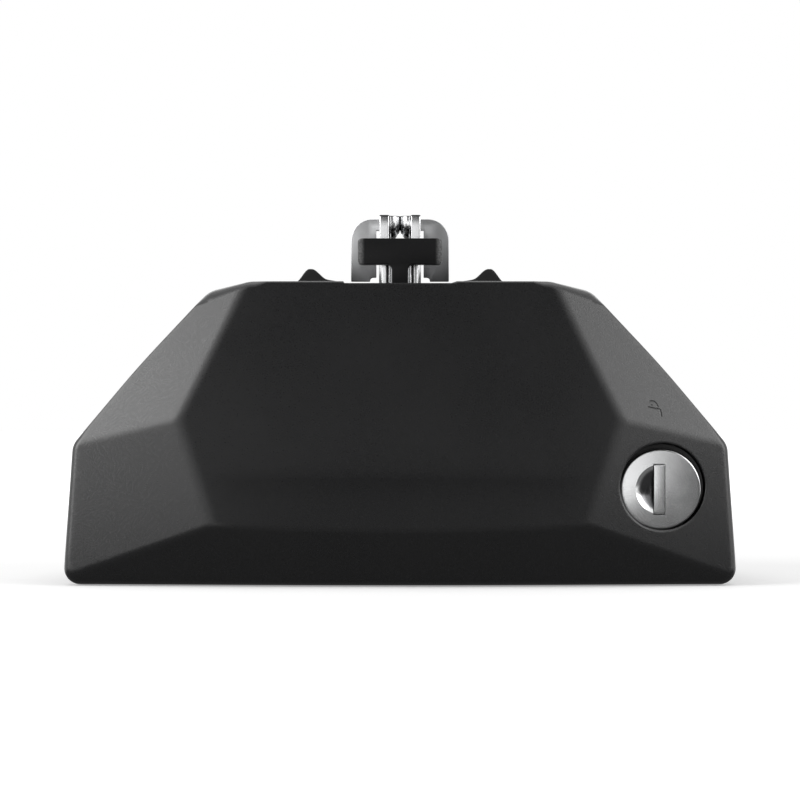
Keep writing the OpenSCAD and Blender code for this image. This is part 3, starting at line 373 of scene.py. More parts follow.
def frontDepth(x, z):  # the cover's front surface as y over x and z
    x = np.abs(np.asarray(x, float))
    z = np.asarray(z, float)
    brow = browRates[0] * x + browRates[1] * z + browRates[2]
    side = blended(brow, cheekFacet(x, z), cover["browBlend"])
    upper = blended(centreFacet(x, z), side, cover["centreBlend"])
    return blended(upper, chinFacet(x, z), cover["chinBlend"])


def frontNormal(x, z):
    step = 0.05
    across = (frontDepth(x + step, z) - frontDepth(x - step, z)) / (2 * step)
    up = (frontDepth(x, z + step) - frontDepth(x, z - step)) / (2 * step)
    normal = np.stack([across, -np.ones_like(across), up], -1)
    return normal / np.linalg.norm(normal, axis=-1, keepdims=True)


def alongLine(start, end, share):
    return [a + (b - a) * share for a, b in zip(start[:2], end[:2])]


def coverOutline():  # counter-clockwise seen from the front: x, z, corner radius, rim radius
    foot = [cover["width"] / 2 - cover["lean"] * cover["lift"] / cover["waistZ"], cover["lift"], 4.0, 2.8]
    corner = [*waist, 5.0, 2.0]
    shoulder = [cover["flankHalf"], cover["flankZ"], 6.5, 4.2]
    run = np.subtract(shoulder[:2], corner[:2]) / math.dist(shoulder[:2], corner[:2])
    middle = alongLine(corner, shoulder, 0.5) + cover["flankBulge"] * np.array([run[1], -run[0]])
    middle = [*middle, 250.0, 0.6]
    top = [cover["topHalf"], cover["height"], 9.0, 2.2]
    right = [foot, [*alongLine(foot, corner, 0.2), 0, 2.2], corner,
             [*alongLine(corner, middle, 0.25), 0, 0.8], middle, [*alongLine(middle, shoulder, 0.82), 0, 0.8],
             shoulder, top, [cover["topHalf"] - 4, cover["height"], 0, 0.6]]
    return np.array(right + [[-x, z, radius, rim] for x, z, radius, rim in reversed(right)])


def outlineStations():  # points on the outline with outward directions, leans and rim radii
    rows = coverOutline()
    corners, radii, rims = rows[:, :2], rows[:, 2], rows[:, 3]
    runs = np.roll(corners, -1, 0) - corners
    runs /= np.linalg.norm(runs, axis=1, keepdims=True)
    outward = np.stack([runs[:, 1], -runs[:, 0]], 1)
    drafts = np.where(np.abs(outward[:, 0]) > 0.2, 1.0, 0.0)
    angles = np.arctan2(outward[:, 1], outward[:, 0])
    turns = (angles - np.roll(angles, 1) + math.pi) % (2 * math.pi) - math.pi
    reach = radii * np.tan(np.abs(turns) / 2)
    made = []
    for i in range(len(corners)):
        start = corners[i] - runs[i - 1] * reach[i]
        centre = start - outward[i - 1] * radii[i]
        steps = 1 if reach[i] < 0.01 else max(5, math.ceil(abs(turns[i]) / math.radians(6)))
        for k in range(steps):  # round the corner
            angle = angles[i - 1] + turns[i] * k / steps
            direction = np.array([math.cos(angle), math.sin(angle)])
            lean = drafts[i - 1] + (drafts[i] - drafts[i - 1]) * k / steps
            made.append((centre + radii[i] * direction, direction, lean, rims[i]))
        start = corners[i] + runs[i] * reach[i]
        after = (i + 1) % len(corners)
        end = corners[after] - runs[i] * reach[after]
        shares = list(np.linspace(0, 1, max(2, math.ceil(np.linalg.norm(end - start) / cover["spacing"]))))
        flat = abs(outward[i, 1]) > 0.99
        marks = [cover["sideEndZ"]]
        if flat and outward[i, 1] < 0:
            marks = [-cover["flangeHalf"], cover["flangeHalf"]]
        elif flat:
            marks = [side * cover["dipHalf"] + offset for side in (-1, 1) for offset in (-0.15, 0.15)]
        axis = 0 if flat else 1
        for mark in marks:  # a station exactly where a wall ends or the dip begins
            share = (mark - start[axis]) / (end[axis] - start[axis])
            if 0 < share < 1:
                shares[int(np.argmin(np.abs(np.array(shares) - share)))] = share
        for share in sorted(shares)[:-1]:
            made.append((start + (end - start) * share, outward[i], drafts[i],
                         rims[i] + (rims[after] - rims[i]) * share))
    points, directions, leans, rims = (np.array(column) for column in zip(*made))
    return points, directions, leans * math.radians(cover["draft"]), rims


def dipped(points):  # lower the middle of the top
    points = np.array(points, float)
    share = np.clip((cover["dipHalf"] + 0.15 - np.abs(points[:, 0])) / 0.3, 0, 1)
    ceiling = cover["height"] - cover["dipDepth"] * share
    points[:, 2] = np.minimum(points[:, 2], ceiling)
    return points


padlock = {  # open padlock sign over the lock, as grooves: places in x and z
    "shackle": [(61.94, 45.70), (62.24, 45.91), (62.57, 45.99), (62.94, 45.92), (63.30, 45.70),
                (63.64, 45.38), (63.91, 45.00), (64.12, 44.54)],
    "body": [(61.63, 44.45), (62.24, 44.30), (63.45, 44.06), (64.42, 43.94), (64.64, 43.80), (64.74, 43.52),
             (64.82, 43.02), (64.97, 42.18)],
    "keyhole": [(62.50, 44.92), (62.58, 44.90)],
    "width": 0.12, "depth": 0.1, "low": (61.4, 41.6), "high": (66.2, 46.8), "spacing": 0.075,
}


def grooveShare(x, z):  # 1 in the middle of a groove, 0 beside it
    share = np.zeros_like(x)
    for name in ("shackle", "body", "keyhole"):
        for (x0, z0), (x1, z1) in zip(padlock[name], padlock[name][1:]):
            along = np.clip(((x - x0) * (x1 - x0) + (z - z0) * (z1 - z0))
                            / ((x1 - x0) ** 2 + (z1 - z0) ** 2), 0, 1)
            away = np.hypot(x - x0 - along * (x1 - x0), z - z0 - along * (z1 - z0))
            share = np.maximum(share, np.clip(1.4 - away / padlock["width"], 0, 1))
    return share


def coverShell():
    outline, outward, lean, rim = outlineStations()
    wide = rim[:, None]
    inner = outline - wide * outward
    middle = inner.copy()
    for _ in range(4):  # the front point over each station, and the middle of the rim's rounding
        place = middle.copy()
        for _ in range(6):
            normal = frontNormal(place[:, 0], place[:, 1])
            place = middle + wide * normal[:, [0, 2]]
        depth = frontDepth(place[:, 0], place[:, 1]) - rim * normal[:, 1]
        middle = inner + outward * (np.sin(lean) * (depth - cover["outlineY"]))[:, None]
    centre = np.stack([middle[:, 0], depth, middle[:, 1]], 1)
    side = np.stack([outward[:, 0] * np.cos(lean), -np.sin(lean), outward[:, 1] * np.cos(lean)], 1)
    rows = []
    spread = np.arccos(np.clip((normal * side).sum(1), -1, 1))[:, None]
    rimSteps = 9
    for k in range(rimSteps + 1):
        share = k / rimSteps
        direction = (np.sin((1 - share) * spread) * normal + np.sin(share * spread) * side) / np.sin(spread)
        rows.append(dipped(centre + wide * direction))
    front = rows[0]
    edge = centre + wide * side
    for y in (cover["flangeY"], cover["sideEndY"], (cover["sideEndY"] + cover["rearY"]) / 2, cover["rearY"]):
        back = edge.copy()
        back[:, 1] = np.maximum(y, edge[:, 1] + 0.05)
        back[:, [0, 2]] += outward * (np.tan(lean) * (back[:, 1] - edge[:, 1]))[:, None]
        rows.append(dipped(back))
    points, faces = strip(rows)
    points = np.array(points)
    kept = []
    for face in faces:
        middlePoint = points[list(face)].mean(0)
        low = middlePoint[2] < cover["sideEndZ"] - 0.01
        underside = middlePoint[2] < cover["lift"] + 0.01 and abs(middlePoint[0]) < cover["flangeHalf"]
        gone = low and middlePoint[1] > cover["sideEndY"] or underside and middlePoint[1] > cover["flangeY"]
        if not gone:
            kept.append(face)
    return front, (points, kept)


def wellWall():  # the tube round the lock, with its floor
    count = 132
    angle = np.linspace(0, 2 * math.pi, count, endpoint=False)
    lip, radius = cover["wellRound"], cover["wellRadius"]
    rows = []
    steps = 6
    for k in range(steps + 1):
        turn = math.pi / 2 * k / steps
        reach = radius + lip * (1 - math.sin(turn))
        x = cover["wellX"] + reach * np.cos(angle)
        z = cover["wellZ"] + reach * np.sin(angle)
        rows.append(np.stack([x, frontDepth(x, z) + lip * (1 - math.cos(turn)), z], 1))
    floorRound = 0.4
    for k in range(5):
        turn = math.pi / 2 * k / 4
        reach = radius - floorRound * (1 - math.cos(turn))
        y = cover["wellFloorY"] - floorRound * (1 - math.sin(turn))
        rows.append(np.stack([cover["wellX"] + reach * np.cos(angle), np.full(count, y),
                              cover["wellZ"] + reach * np.sin(angle)], 1))
    hole = np.stack([cover["wellX"] + cover["housingRadius"] * np.cos(angle),
                     np.full(count, cover["wellFloorY"]),
                     cover["lockZ"] + cover["housingRadius"] * np.sin(angle)], 1)
    wide = radius + cover["wellWall"]
    x = cover["wellX"] + wide * np.cos(angle)
    z = cover["wellZ"] + wide * np.sin(angle)
    back = np.full(count, cover["wellFloorY"] + cover["wellWall"])
    rows += [hole, np.stack([hole[:, 0], back, hole[:, 2]], 1), np.stack([x, back, z], 1),
             np.stack([x, frontDepth(x, z) + cover["wellWall"], z], 1), rows[0]]
    points, faces = strip(rows)
    return rows[0], (points, [face[::-1] for face in faces])


def frontSheet(loop, wellLoop):  # the face between the rim and the well, over a triangular grid
    loopFlat = loop[:, [0, 2]]
    wellFlat = wellLoop[:, [0, 2]]
    starts, ends = loopFlat, np.roll(loopFlat, -1, 0)

    def inside(points, margin):  # whether points lie within the loop, and further than margin from it
        good = np.zeros(len(points), bool)
        for i, (x, z) in enumerate(points):
            crosses = (starts[:, 1] > z) != (ends[:, 1] > z)
            first, last = starts[crosses], ends[crosses]
            at = first[:, 0] + (z - first[:, 1]) / (last[:, 1] - first[:, 1]) * (last[:, 0] - first[:, 0])
            good[i] = (at > x).sum() % 2 == 1 and np.hypot(*(loopFlat - (x, z)).T).min() > margin
        return good

    def outsideWell(points, margin):
        away = np.hypot(points[:, 0] - cover["wellX"], points[:, 1] - cover["wellZ"])
        return away > cover["wellRadius"] + cover["wellRound"] + margin

    def inSign(points):
        return ((points > padlock["low"]) & (points < padlock["high"])).all(1)

    def lattice(low, high, step):
        rowsUp = np.arange(low[1], high[1], step * 0.866)
        return np.array([(x + (k % 2) * step / 2, z) for k, z in enumerate(rowsUp)
                         for x in np.arange(low[0], high[0], step)])

    def bent(points):  # on a crease or near one
        x, z = points.T
        here = 2 * frontDepth(x, z)
        across = frontDepth(x - 0.7, z) + frontDepth(x + 0.7, z) - here
        up = frontDepth(x, z - 0.7) + frontDepth(x, z + 0.7) - here
        return np.maximum(np.abs(across), np.abs(up)) > 0.006

    grids = []
    for spacing, creased in ((cover["flatSpacing"], False), (cover["creaseSpacing"], True)):
        grid = lattice((-cover["width"] / 2, 0), (cover["width"] / 2, cover["height"]), spacing)
        grid = grid[bent(grid) == creased]
        grids.append(grid[outsideWell(grid, 0.35) & ~inSign(grid) & inside(grid, 0.35)])
    sign = lattice(padlock["low"], padlock["high"], padlock["spacing"])
    flat = np.concatenate([loopFlat, wellFlat, *grids, sign])
    n, m = len(loopFlat), len(wellFlat)
    edges = [(i, (i + 1) % n) for i in range(n)] + [(n + i, n + (i + 1) % m) for i in range(m)]
    found, _, faces, *_ = delaunay_2d_cdt([Vector(point) for point in flat], edges, [], 1, 1e-5)
    found = np.array(found)
    middles = np.array([found[list(face)].mean(0) for face in faces])
    keep = outsideWell(middles, -0.02)
    depth = frontDepth(found[:, 0], found[:, 1]) + padlock["depth"] * grooveShare(found[:, 0], found[:, 1])
    points = np.stack([found[:, 0], depth, found[:, 1]], 1)
    return points, [tuple(face) for face, good in zip(faces, keep) if good]


def makeCover():
    loop, shell = coverShell()
    wellLoop, well = wellWall()
    sheet = frontSheet(loop, wellLoop)
    piece = newPiece("cover_shell", [shell, sheet], coverPlastic, "cover", 40)
    thick = piece.modifiers.new("wall", "SOLIDIFY")
    thick.thickness = cover["wall"] * mm
    thick.offset = -1
    thick.use_quality_normals = True
    settle(piece, 40)
    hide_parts("front_cover")
    newPiece("cover_well", [well], coverPlastic, "cover", 35)
    return piece


coverPiece = makeCover()
print("cover made", len(coverPiece.data.polygons), "faces")


def prism(outline, y0, y1, edge, bigEdges=0.0, bigWhere=None):  # a bevelled plate drawn in x and z
    build = bmesh.new()
    front = build.faces.new([build.verts.new((x * mm, y0 * mm, z * mm)) for x, z in outline])
    grown = bmesh.ops.extrude_face_region(build, geom=[front])
    bmesh.ops.translate(build, verts=[v for v in grown["geom"] if isinstance(v, bmesh.types.BMVert)],
                        vec=(0, (y1 - y0) * mm, 0))
    bmesh.ops.recalc_face_normals(build, faces=build.faces)
    if bigWhere:
        wide = [e for e in build.edges if bigWhere((e.verts[0].co + e.verts[1].co) / 2 / mm,
                                                   (e.verts[1].co - e.verts[0].co) / mm)]
        bmesh.ops.bevel(build, geom=wide, offset=bigEdges * mm, segments=7, profile=0.5, affect="EDGES")
    sharp = [e for e in build.edges if len(e.link_faces) == 2 and e.calc_face_angle(0) > math.radians(25)]
    bmesh.ops.bevel(build, geom=sharp, offset=edge * mm, segments=3, profile=0.5, affect="EDGES",
                    clamp_overlap=True)
    points = [vertex.co / mm for vertex in build.verts]
    faces = [tuple(vertex.index for vertex in face.verts) for face in build.faces]
    build.free()
    return points, faces


def rectangle(x0, x1, z0, z1):
    return [(x0, z0), (x1, z0), (x1, z1), (x0, z1)]


def arcPoints(x, z, radius, start, end, steps):
    return [(x + radius * math.cos(math.radians(a)), z + radius * math.sin(math.radians(a)))
            for a in np.linspace(start, end, steps)]


def makeRibs():  # inside the cover
    parts = []
    sunk = cover["wall"] - 0.5
    for x in cover["ribs"]:
        front = [(float(frontDepth(x, z)) + sunk, z) for z in np.linspace(cover["ribTop"], 2.2, 24)]
        outline = [(cover["ribBack"], 2.2), (cover["ribBack"], cover["ribTop"])] + front
        points, faces = prism(outline, x - cover["ribThick"] / 2, x + cover["ribThick"] / 2, 0.25)
        parts.append(([(point[1], point[0], point[2]) for point in points], [face[::-1] for face in faces]))
    for x in (-cover["tongueX"], cover["tongueX"]):
        half = cover["tongueHalf"]
        tongue = rectangle(x - half, x + half, cover["tongueZ"] - 1, cover["tongueZ"] + 1)
        parts.append(prism(tongue, float(frontDepth(x, cover["tongueZ"])) + sunk, cover["tongueBack"], 0.4))
    newPiece("cover_ribs", parts, coverPlastic, "cover", 30)


makeRibs()
print("ribs made")

lock = {
    "x": 64.8, "z": 24.0, "faceY": -36.2, "stepY": -34.0, "radius": 10.05, "bevel": 0.45, "crown": 0.4,
    "scoopRadius": 6.2, "scoopDepth": 1.95, "pocketLeft": -1.85, "pocketRight": 1.15, "pocketHalf": 6.35,
    "pocketDepth": 3.2, "pocketRound": 0.35,
    "barLeft": -1.65, "barRight": 1.0, "barHalf": 6.15, "barThick": 0.8, "barCrown": 0.18, "barRound": 0.1,
    "hingeX": 0.4, "hingeY": 0.6, "knuckle": 0.42,
    "spacing": 0.4, "clear": 0.12, "neck": 0.69,
}


def lockHeight(x, z):  # the plug's face over places measured from the lock's axis
    reach = np.hypot(x, z)
    flat = lock["radius"] - lock["bevel"]
    face = lock["faceY"] + lock["crown"] * (reach / flat) ** 2
    ball = (lock["scoopRadius"] ** 2 + lock["scoopDepth"] ** 2) / (2 * lock["scoopDepth"])
    hollow = lock["faceY"] - ball + lock["scoopDepth"] + np.sqrt(np.maximum(ball ** 2 - reach ** 2, 0))
    return face, hollow


def ring(radius, count, start=0.0, end=2 * math.pi, last=False):
    angle = np.linspace(start, end, count, endpoint=last)
    return np.stack([radius * np.cos(angle), radius * np.sin(angle)], 1)


def pocketLoop():
    left, right, half, r = (lock[name] for name in ("pocketLeft", "pocketRight", "pocketHalf", "pocketRound"))
    points = []
    for (x, z), start in (((right - r, half - r), 0), ((left + r, half - r), 90), ((left + r, r - half), 180),
                          ((right - r, r - half), 270)):
        points += [(x + r * math.cos(math.radians(start + a)), z + r * math.sin(math.radians(start + a)))
                   for a in (0, 30, 60, 90)]
    loop = np.array(points)
    fine = []
    for a, b in zip(loop, np.roll(loop, -1, 0)):
        steps = max(1, math.ceil(np.linalg.norm(b - a) / 0.35))
        fine += [a + (b - a) * k / steps for k in range(steps)]
    return np.array(fine)


def makeLock():
    flat = lock["radius"] - lock["bevel"]
    left, right, half = (lock[name] for name in ("pocketLeft", "pocketRight", "pocketHalf"))
    scoop, clear = lock["scoopRadius"], lock["clear"]
    outer = ring(flat, 144)
    pocket = pocketLoop()
    sweep = math.acos(-left / scoop)
    arc = ring(scoop, 60, math.pi - sweep, math.pi + sweep, True)
    places = np.arange(-flat, flat, lock["spacing"])
    grid = np.array([(x, z) for x in places for z in places])
    reach = np.hypot(grid[:, 0], grid[:, 1])
    across = (grid[:, 0] > left - clear) & (grid[:, 0] < right + clear)
    inPocket = across & (np.abs(grid[:, 1]) < half + clear)
    grid = grid[(reach < flat - 0.2) & (np.abs(reach - scoop) > clear) & ~inPocket]
    flatPoints = np.concatenate([outer, pocket, arc, grid])
    n, m, a = len(outer), len(pocket), len(arc)
    edges = [(i, (i + 1) % n) for i in range(n)] + [(n + i, n + (i + 1) % m) for i in range(m)]
    edges += [(n + m + i, n + m + i + 1) for i in range(a - 1)]
    found, _, faces, *_ = delaunay_2d_cdt([Vector(point) for point in flatPoints], edges, [], 0, 1e-5)
    found = np.array(found)
    face, hollow = lockHeight(found[:, 0], found[:, 1])
    parts = {"face": [], "scoop": []}
    for corners in faces:
        x, z = found[list(corners)].mean(0)
        if np.hypot(x, z) > flat or (left < x < right and abs(z) < half):
            continue
        parts["scoop" if x < left and np.hypot(x, z) < scoop else "face"].append(tuple(corners))
    shift = np.array([lock["x"], 0, lock["z"]])

    def raised(depth):
        return np.stack([found[:, 0], depth, found[:, 1]], 1) + shift

    rows = []
    for turn in np.linspace(0, math.pi / 2, 5):  # the rounded rim
        grown = outer / flat * (flat + lock["bevel"] * math.sin(turn))
        depth = lock["faceY"] + lock["crown"] + lock["bevel"] * (1 - math.cos(turn))
        rows.append(np.stack([grown[:, 0], np.full(n, depth), grown[:, 1]], 1) + shift)
    back = rows[-1].copy()
    back[:, 1] = lock["stepY"]
    inner = back.copy()
    inner[:, [0, 2]] = (inner[:, [0, 2]] - shift[[0, 2]]) * lock["neck"] + shift[[0, 2]]
    rows += [back, inner]
    faceTop, hollowTop = lockHeight(pocket[:, 0], pocket[:, 1])
    beside = (np.abs(pocket[:, 0] - left) < 1e-6) & (np.hypot(pocket[:, 0], pocket[:, 1]) < scoop)
    top = np.stack([pocket[:, 0], np.where(beside, hollowTop, faceTop), pocket[:, 1]], 1) + shift
    bottom = top.copy()
    bottom[:, 1] = lock["faceY"] + lock["pocketDepth"]
    pocketPoints, pocketFaces = strip([top, bottom])
    floor = (list(bottom), [tuple(range(m))])
    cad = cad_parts["lock_plug"].data
    corners = [vertex.co / mm for vertex in cad.vertices]
    kept = [tuple(polygon.vertices) for polygon in cad.polygons
            if min(corners[i].y for i in polygon.vertices) > lock["stepY"] - 0.01
            and polygon.center.y / mm > lock["stepY"] + 0.005]
    shapes = [(raised(face), parts["face"]), (raised(hollow), parts["scoop"]), strip(rows),
              (pocketPoints, [side[::-1] for side in pocketFaces]), floor, (corners, kept)]
    piece = newPiece("lock_face", shapes, chrome, "lock", 25)
    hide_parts("lock_plug")


def roundedSection(x0, x1, y0, y1, front, back, z):  # a level loop: a rectangle with rounded corners
    corners = [(x1 - front, y0 + front, front, -90), (x1 - back, y1 - back, back, 0),
               (x0 + back, y1 - back, back, 90), (x0 + front, y0 + front, front, 180)]
    return [(a, b, z) for x, y, radius, start in corners
            for a, b in arcPoints(x, y, radius, start, start + 90, 8)]


def loft(rows):  # rows from bottom to top, with both ends closed
    points, faces = strip(rows)
    count = len(rows[0])
    last = len(points) - count
    faces = [face[::-1] for face in faces]
    return points, faces + [tuple(range(count))[::-1], tuple(range(last, last + count))]


def makeShutter():
    x, z, y = lock["x"], lock["z"], lock["faceY"]
    half, edge = lock["barHalf"], lock["barRound"]
    rows = []
    for place in np.concatenate([-half + edge * (1 - np.cos(np.linspace(0, math.pi / 2, 5))),
                                 np.linspace(-half + edge, half - edge, 26)[1:-1],
                                 half - edge * (1 - np.cos(np.linspace(math.pi / 2, 0, 5)))]):
        near = max(0.0, abs(place) - (half - edge)) / edge
        inset = edge * (1 - math.sqrt(max(0.0, 1 - near ** 2)))
        front = y + lock["barCrown"] * (place / half) ** 2 + inset
        rows.append(roundedSection(x + lock["barLeft"] + inset, x + lock["barRight"] - inset,
                                   front, y + lock["barThick"] - inset, edge, 0.05, z + place))
    pin = ring(lock["knuckle"], 24)
    knuckle = [[(x + lock["hingeX"] + a, y + lock["hingeY"] + b, z + end) for a, b in pin]
               for end in (-half + 0.05, half - 0.05)]
    piece = newPiece("shutter_bar", [loft(rows), loft(knuckle)], chrome, "shutter", 40)
    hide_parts("lock_shutter")


makeLock()
makeShutter()
print("lock made")

guide = {
    "headHalf": 10.8, "headLow": 80.9, "headHigh": 87.55, "frontY": -12.0, "backY": -6.0, "stemHalf": 2.1,
    "footHalf": 5.0, "footTop": 75.3, "low": 64.5, "stemLow": 74.5, "fillet": 1.3, "corner": 1.1, "plan": 2.0,
    "edge": 0.3,
}


def makeGuide():
    half, low, high, corner = (guide[name] for name in ("headHalf", "headLow", "headHigh", "corner"))
    head = arcPoints(half - corner, low + corner, corner, -90, 0, 7)
    head += arcPoints(half - corner, high - corner, corner, 0, 90, 7)
    stem = [(guide["stemHalf"], guide["stemLow"])]
    stem += arcPoints(guide["stemHalf"] + guide["fillet"], low - guide["fillet"], guide["fillet"], 180, 90, 7)
    right = stem + head
    outline = right + [(-x, z) for x, z in reversed(right)]

    def headEnds(middle, run):
        return abs(middle.x) > half - 0.02 and abs(run.z) > 2 and middle.y < guide["frontY"] + 0.1

    foot = rectangle(-guide["footHalf"], guide["footHalf"], guide["low"], guide["footTop"])
    bodyParts = [prism(outline, guide["frontY"], guide["backY"], guide["edge"], guide["plan"], headEnds),
                 prism(foot, guide["frontY"], guide["backY"], guide["edge"])]
    piece = newPiece("guide", bodyParts, guidePlastic, "base", 30)
    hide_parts("t_guide")


makeGuide()
print("guide made")

fork = {
    "frontY": -4, "backY": 6, "y": 1, "inner": 2.8, "outer": 5.3, "legInner": 2.1, "legOuter": 5.42,
    "cutZ": 72, "legZ": 83.5, "earZ": 87.5, "top": 93.98, "topRound": 0.25, "earRound": 0.35,
    "backRound": 0.6,
    "domeZ": 92.3, "domeTop": 93.75, "collar": [(2.9, 4.95), (2.5, 4.9), (2.34, 4.66)], "domeStart": 2.3,
    "tip": 1.9, "swell": 2.7,
}


def cutAbove(mesh, height):  # what lies below a height, closed with a flat top
    build = bmesh.new()
    build.from_mesh(mesh)
    cut = bmesh.ops.bisect_plane(build, geom=build.verts[:] + build.edges[:] + build.faces[:],
                                 plane_co=(0, 0, height * mm), plane_no=(0, 0, 1), clear_outer=True)
    rim = [piece for piece in cut["geom_cut"] if isinstance(piece, bmesh.types.BMEdge)]
    bmesh.ops.holes_fill(build, edges=rim)
    points = [vertex.co / mm for vertex in build.verts]
    faces = [tuple(vertex.index for vertex in face.verts) for face in build.faces]
    build.free()
    return points, faces


def mirrored(part):
    points, faces = part
    return [(-point[0], point[1], point[2]) for point in points], [face[::-1] for face in faces]


def forkSection(z, inset=0.0):  # a rounded leg that widens into a flat ear
    share = min(1.0, max(0.0, (z - fork["legZ"]) / (fork["earZ"] - fork["legZ"])))
    share = share * share * (3 - 2 * share)
    inner = fork["legInner"] + (fork["inner"] - fork["legInner"]) * share + inset
    outer = fork["legOuter"] + (fork["outer"] - fork["legOuter"]) * share - inset
    nose = (outer - inner) / 2 - 0.02
    nose += (fork["earRound"] - nose) * share
    return roundedSection(inner, outer, fork["frontY"] + inset, fork["backY"] - inset, nose,
                          fork["backRound"], z)


def makeFork():
    rows = [forkSection(z) for z in (fork["cutZ"] - 0.1, 78, *np.linspace(fork["legZ"], fork["earZ"], 9), 91)]
    for turn in np.linspace(0, math.pi / 2, 5):
        rows.append(forkSection(fork["top"] - fork["topRound"] * (1 - math.sin(turn)),
                                fork["topRound"] * (1 - math.cos(turn))))
    profile = list(fork["collar"])
    for turn in np.linspace(0, math.pi / 2, 12):
        radius = fork["tip"] + fork["swell"] * math.cos(turn)
        profile.append((fork["domeStart"] * (1 - math.sin(turn)), radius))
    dome = [[(x, fork["y"] + a, fork["domeZ"] + b) for a, b in ring(radius, 64)] for x, radius in profile]
    points, faces = loft(dome)
    whole = bpy.data.meshes.new("dome")
    whole.from_pydata([Vector(point) * mm for point in points], [], faces)
    domePart = cutAbove(whole, fork["domeTop"])
    bpy.data.meshes.remove(whole)
    for side, name in ((1, "fork_plate_right"), (-1, "fork_plate_left")):
        parts = [loft(rows), domePart]
        if side < 0:
            parts = [mirrored(part) for part in parts]
        parts.append(cutAbove(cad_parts[name].data, fork["cutZ"]))
        piece = newPiece(name + "_formed", parts, forkSteel, "bar_clamp", 38)
        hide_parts(name)


pad = {
    "crestX": 22.85, "crestZ": 79.66, "crestFlat": 0.25, "innerZ": 76.5, "outerZ": 76.3,
    "innerX": 14.4, "outerX": 34,
    "seatZ": 75.5, "frontY": -13, "backY": 36, "outerWidth": 3.7, "innerWidths": (4.1, 8.0), "edge": 0.3,
}


def halfWave(share):
    return (1 + math.cos(math.pi * min(1.0, max(0.0, share)))) / 2


def padHeight(x):  # top of the pad at a distance from the middle
    away = max(0.0, abs(x - pad["crestX"]) - pad["crestFlat"])
    if x > pad["crestX"]:
        return pad["outerZ"] + (pad["crestZ"] - pad["outerZ"]) * halfWave(away / pad["outerWidth"])
    near, far = (away / width for width in pad["innerWidths"])
    return pad["innerZ"] + (pad["crestZ"] - pad["innerZ"]) * (0.7 * halfWave(near) + 0.3 * halfWave(far))


def makePads():
    places = [pad["innerX"], *np.arange(pad["innerX"] + 1, 19, 0.6), *np.arange(19, 27.2, 0.2), 28,
              pad["outerX"]]
    outline = [(pad["outerX"], pad["seatZ"]), (pad["innerX"], pad["seatZ"])]
    outline += [(x, padHeight(x)) for x in places]
    part = prism(outline, pad["frontY"], pad["backY"], pad["edge"])
    for name, shape in (("right", part), ("left", mirrored(part))):
        piece = newPiece("pad_" + name, [shape], rubber, "base", 30)
        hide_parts("saddle_pad_" + name)


plate = {
    "half": 12.75, "low": 77.12, "high": 93.43, "frontY": 6.0, "backY": 9.0, "corner": 5.5, "edge": 0.2,
    "slotHalf": 6.15, "slotTop": 90.4, "notchHalf": 7.8, "notchTop": 78.15, "notchRound": 0.8,
}


def makePlate():
    turned, small = plate["corner"], plate["notchRound"]
    right = [(plate["half"], plate["low"])]
    right += arcPoints(plate["half"] - turned, plate["high"] - turned, turned, 0, 90, 14)
    inner = [(plate["slotHalf"], plate["slotTop"]), (plate["slotHalf"], plate["notchTop"])]
    inner += arcPoints(plate["notchHalf"] - small, plate["notchTop"] - small, small, 90, 0, 6)
    inner += [(plate["notchHalf"], plate["low"])]
    outline = right + [(-x, z) for x, z in reversed(right)] + [(-x, z) for x, z in reversed(inner)] + inner
    part = prism(outline, plate["frontY"], plate["backY"], plate["edge"])
    piece = newPiece("plate_formed", [part], rolled, "bar_clamp", 30)
    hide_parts("clamp_plate")


makeFork()
makePads()
makePlate()
print("fork, pads and plate made")

studio = {
    "cameraY": -884, "cameraZ": 46.2, "lens": 153.5,
    "softboxes": {  # place, size and power
        "left": ((-0.85, -0.40, 0.47), (0.6, 0.6), 5.8),
        "right": ((0.86, -0.39, 0.47), (0.6, 0.6), 3.6),
        "top": ((0, 0.15, 1.3), (1.3, 0.8), 4),
        "back": ((0, 1.2, 0.7), (1.6, 0.5), 2.5),
    },
    # dark cards that only reflections see: place, size, turn, and glow from the left end to the right one
    "cards": {
        "upper": ((0, -0.64, 0.46), (0.66, 0.56), (90, 0, 0), (0.06, 0.06)),
        "lower": ((0, -0.11, 0.0002), (0.5, 0.17), (0, 0, 0), (0.15, 0.15)),
        "near": ((-0.0015, -0.07, 0.0165), (0.097, 0.033), (90, 0, 0), (0.2, 0.2)),
        "left": ((-0.2, -0.19, 0.022), (0.2, 0.05), (90, 0, -40), (0.1, 0.1)),
        "right": ((0.2, -0.19, 0.03), (0.2, 0.08), (90, 0, 40), (0.1, 0.1)),
        "far": ((0.15, -0.62, 0.06), (0.14, 0.16), (90, 0, 0), (0.6, 0.12)),
        "beyond": ((0.32, -0.62, 0.06), (0.2, 0.16), (90, 0, 0), (0.03, 0.02)),
        "ahead": ((0.115, -0.41, 0.0004), (0.15, 0.43), (0, 0, 0), (0.26, 0.1)),
    },
    "ambient": 0.35, "floorGlow": 0.3, "nearFloor": 0.16, "farFloor": 0.9,
}


def makeCamera():
    camera = bpy.data.objects.new("camera", bpy.data.cameras.new("camera"))
    bpy.context.scene.collection.objects.link(camera)
    camera.location = (0, studio["cameraY"] * mm, studio["cameraZ"] * mm)
    camera.rotation_euler = (math.pi / 2, 0, 0)
    camera.data.lens = studio["lens"]
    camera.data.sensor_width = 36
    camera.data.clip_start = 0.01
    bpy.context.scene.camera = camera


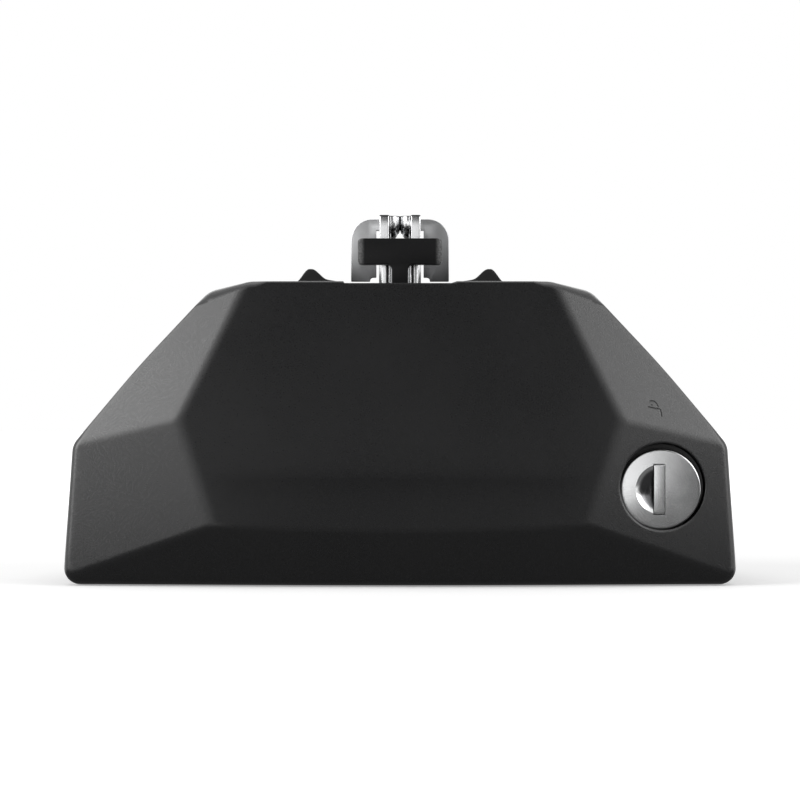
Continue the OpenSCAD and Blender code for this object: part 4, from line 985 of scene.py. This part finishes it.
def softbox(name, place, size, power, target=(0, -0.02, 0.04)):
    lamp = bpy.data.lights.new(name, "AREA")
    lamp.shape = "RECTANGLE"
    lamp.size, lamp.size_y = size
    lamp.energy = power
    holder = bpy.data.objects.new(name, lamp)
    bpy.context.scene.collection.objects.link(holder)
    holder.location = place
    holder.rotation_euler = (Vector(target) - Vector(place)).to_track_quat("-Z", "Y").to_euler()
    holder.visible_camera = False
    return holder


def seenDirectly(board):  # camera, mirror and glass rays see the pale background
    path = board.node("ShaderNodeLightPath", {}, {}, "Is Camera Ray")
    return path + path.other("Is Glossy Ray") + path.other("Is Transmission Ray")


def stagePlane(name, place, size, turn, material):
    mesh = bpy.data.meshes.new(name)
    w, h = size[0] / 2, size[1] / 2
    mesh.from_pydata([(-w, -h, 0), (w, -h, 0), (w, h, 0), (-w, h, 0)], [], [(0, 1, 2, 3)])
    mesh.materials.append(material)
    plane = bpy.data.objects.new(name, mesh)
    bpy.context.scene.collection.objects.link(plane)
    plane.location = place
    plane.rotation_euler = turn
    return plane


def makeFloor():
    paper = newBoard("pale_floor")
    place = paper.node("ShaderNodeTexCoord", {}, {}, "Object")
    grain = paper.noise(paper.point(), 0.05, 3.0)
    tone = paper.blend(grain, (0.8, 0.8, 0.8, 1), (0.84, 0.84, 0.84, 1))
    matt = paper.node("ShaderNodeBsdfDiffuse", {}, {"Color": tone})
    away = paper.node("ShaderNodeVectorMath", {"operation": "LENGTH"}, {0: place}, "Value")
    glow = paper.between(away, studio["nearFloor"], studio["farFloor"], studio["floorGlow"], 1.0)
    light = paper.node("ShaderNodeEmission", {}, {"Strength": seenDirectly(paper) * glow})
    both = paper.node("ShaderNodeAddShader", {}, {0: matt, 1: light})
    paper.node("ShaderNodeOutputMaterial", {}, {"Surface": both})
    stagePlane("floor", (0, 0, 0), (8, 8), (0, 0, 0), paper.owner)


def makeCards():
    for name, (place, size, turn, glow) in studio["cards"].items():
        card = newBoard("card_" + name)
        half = size[0] / mm / 2
        strength = card.between(card.part(card.point(), "X"), -half, half, *glow)
        card.node("ShaderNodeOutputMaterial", {},
                  {"Surface": card.node("ShaderNodeEmission", {}, {"Strength": strength})})
        turn = [math.radians(angle) for angle in turn]
        plane = stagePlane("card_" + name, place, size, turn, card.owner)
        plane.visible_camera = False
        plane.visible_diffuse = False
        plane.visible_shadow = False


def makeWorld():
    world = bpy.data.worlds.new("studio")
    bpy.context.scene.world = world
    sky = Board(world)
    strength = studio["ambient"] + (1 - studio["ambient"]) * seenDirectly(sky)
    back = sky.node("ShaderNodeBackground", {}, {"Color": (1, 1, 1, 1), "Strength": strength})
    sky.node("ShaderNodeOutputWorld", {}, {"Surface": back})


def makeStudio():
    for name, (place, size, power) in studio["softboxes"].items():
        softbox("softbox_" + name, place, size, power)
    makeFloor()
    makeCards()
    makeWorld()
    bpy.context.scene.view_settings.view_transform = "Standard"


makeCamera()
makeStudio()
print("studio set")
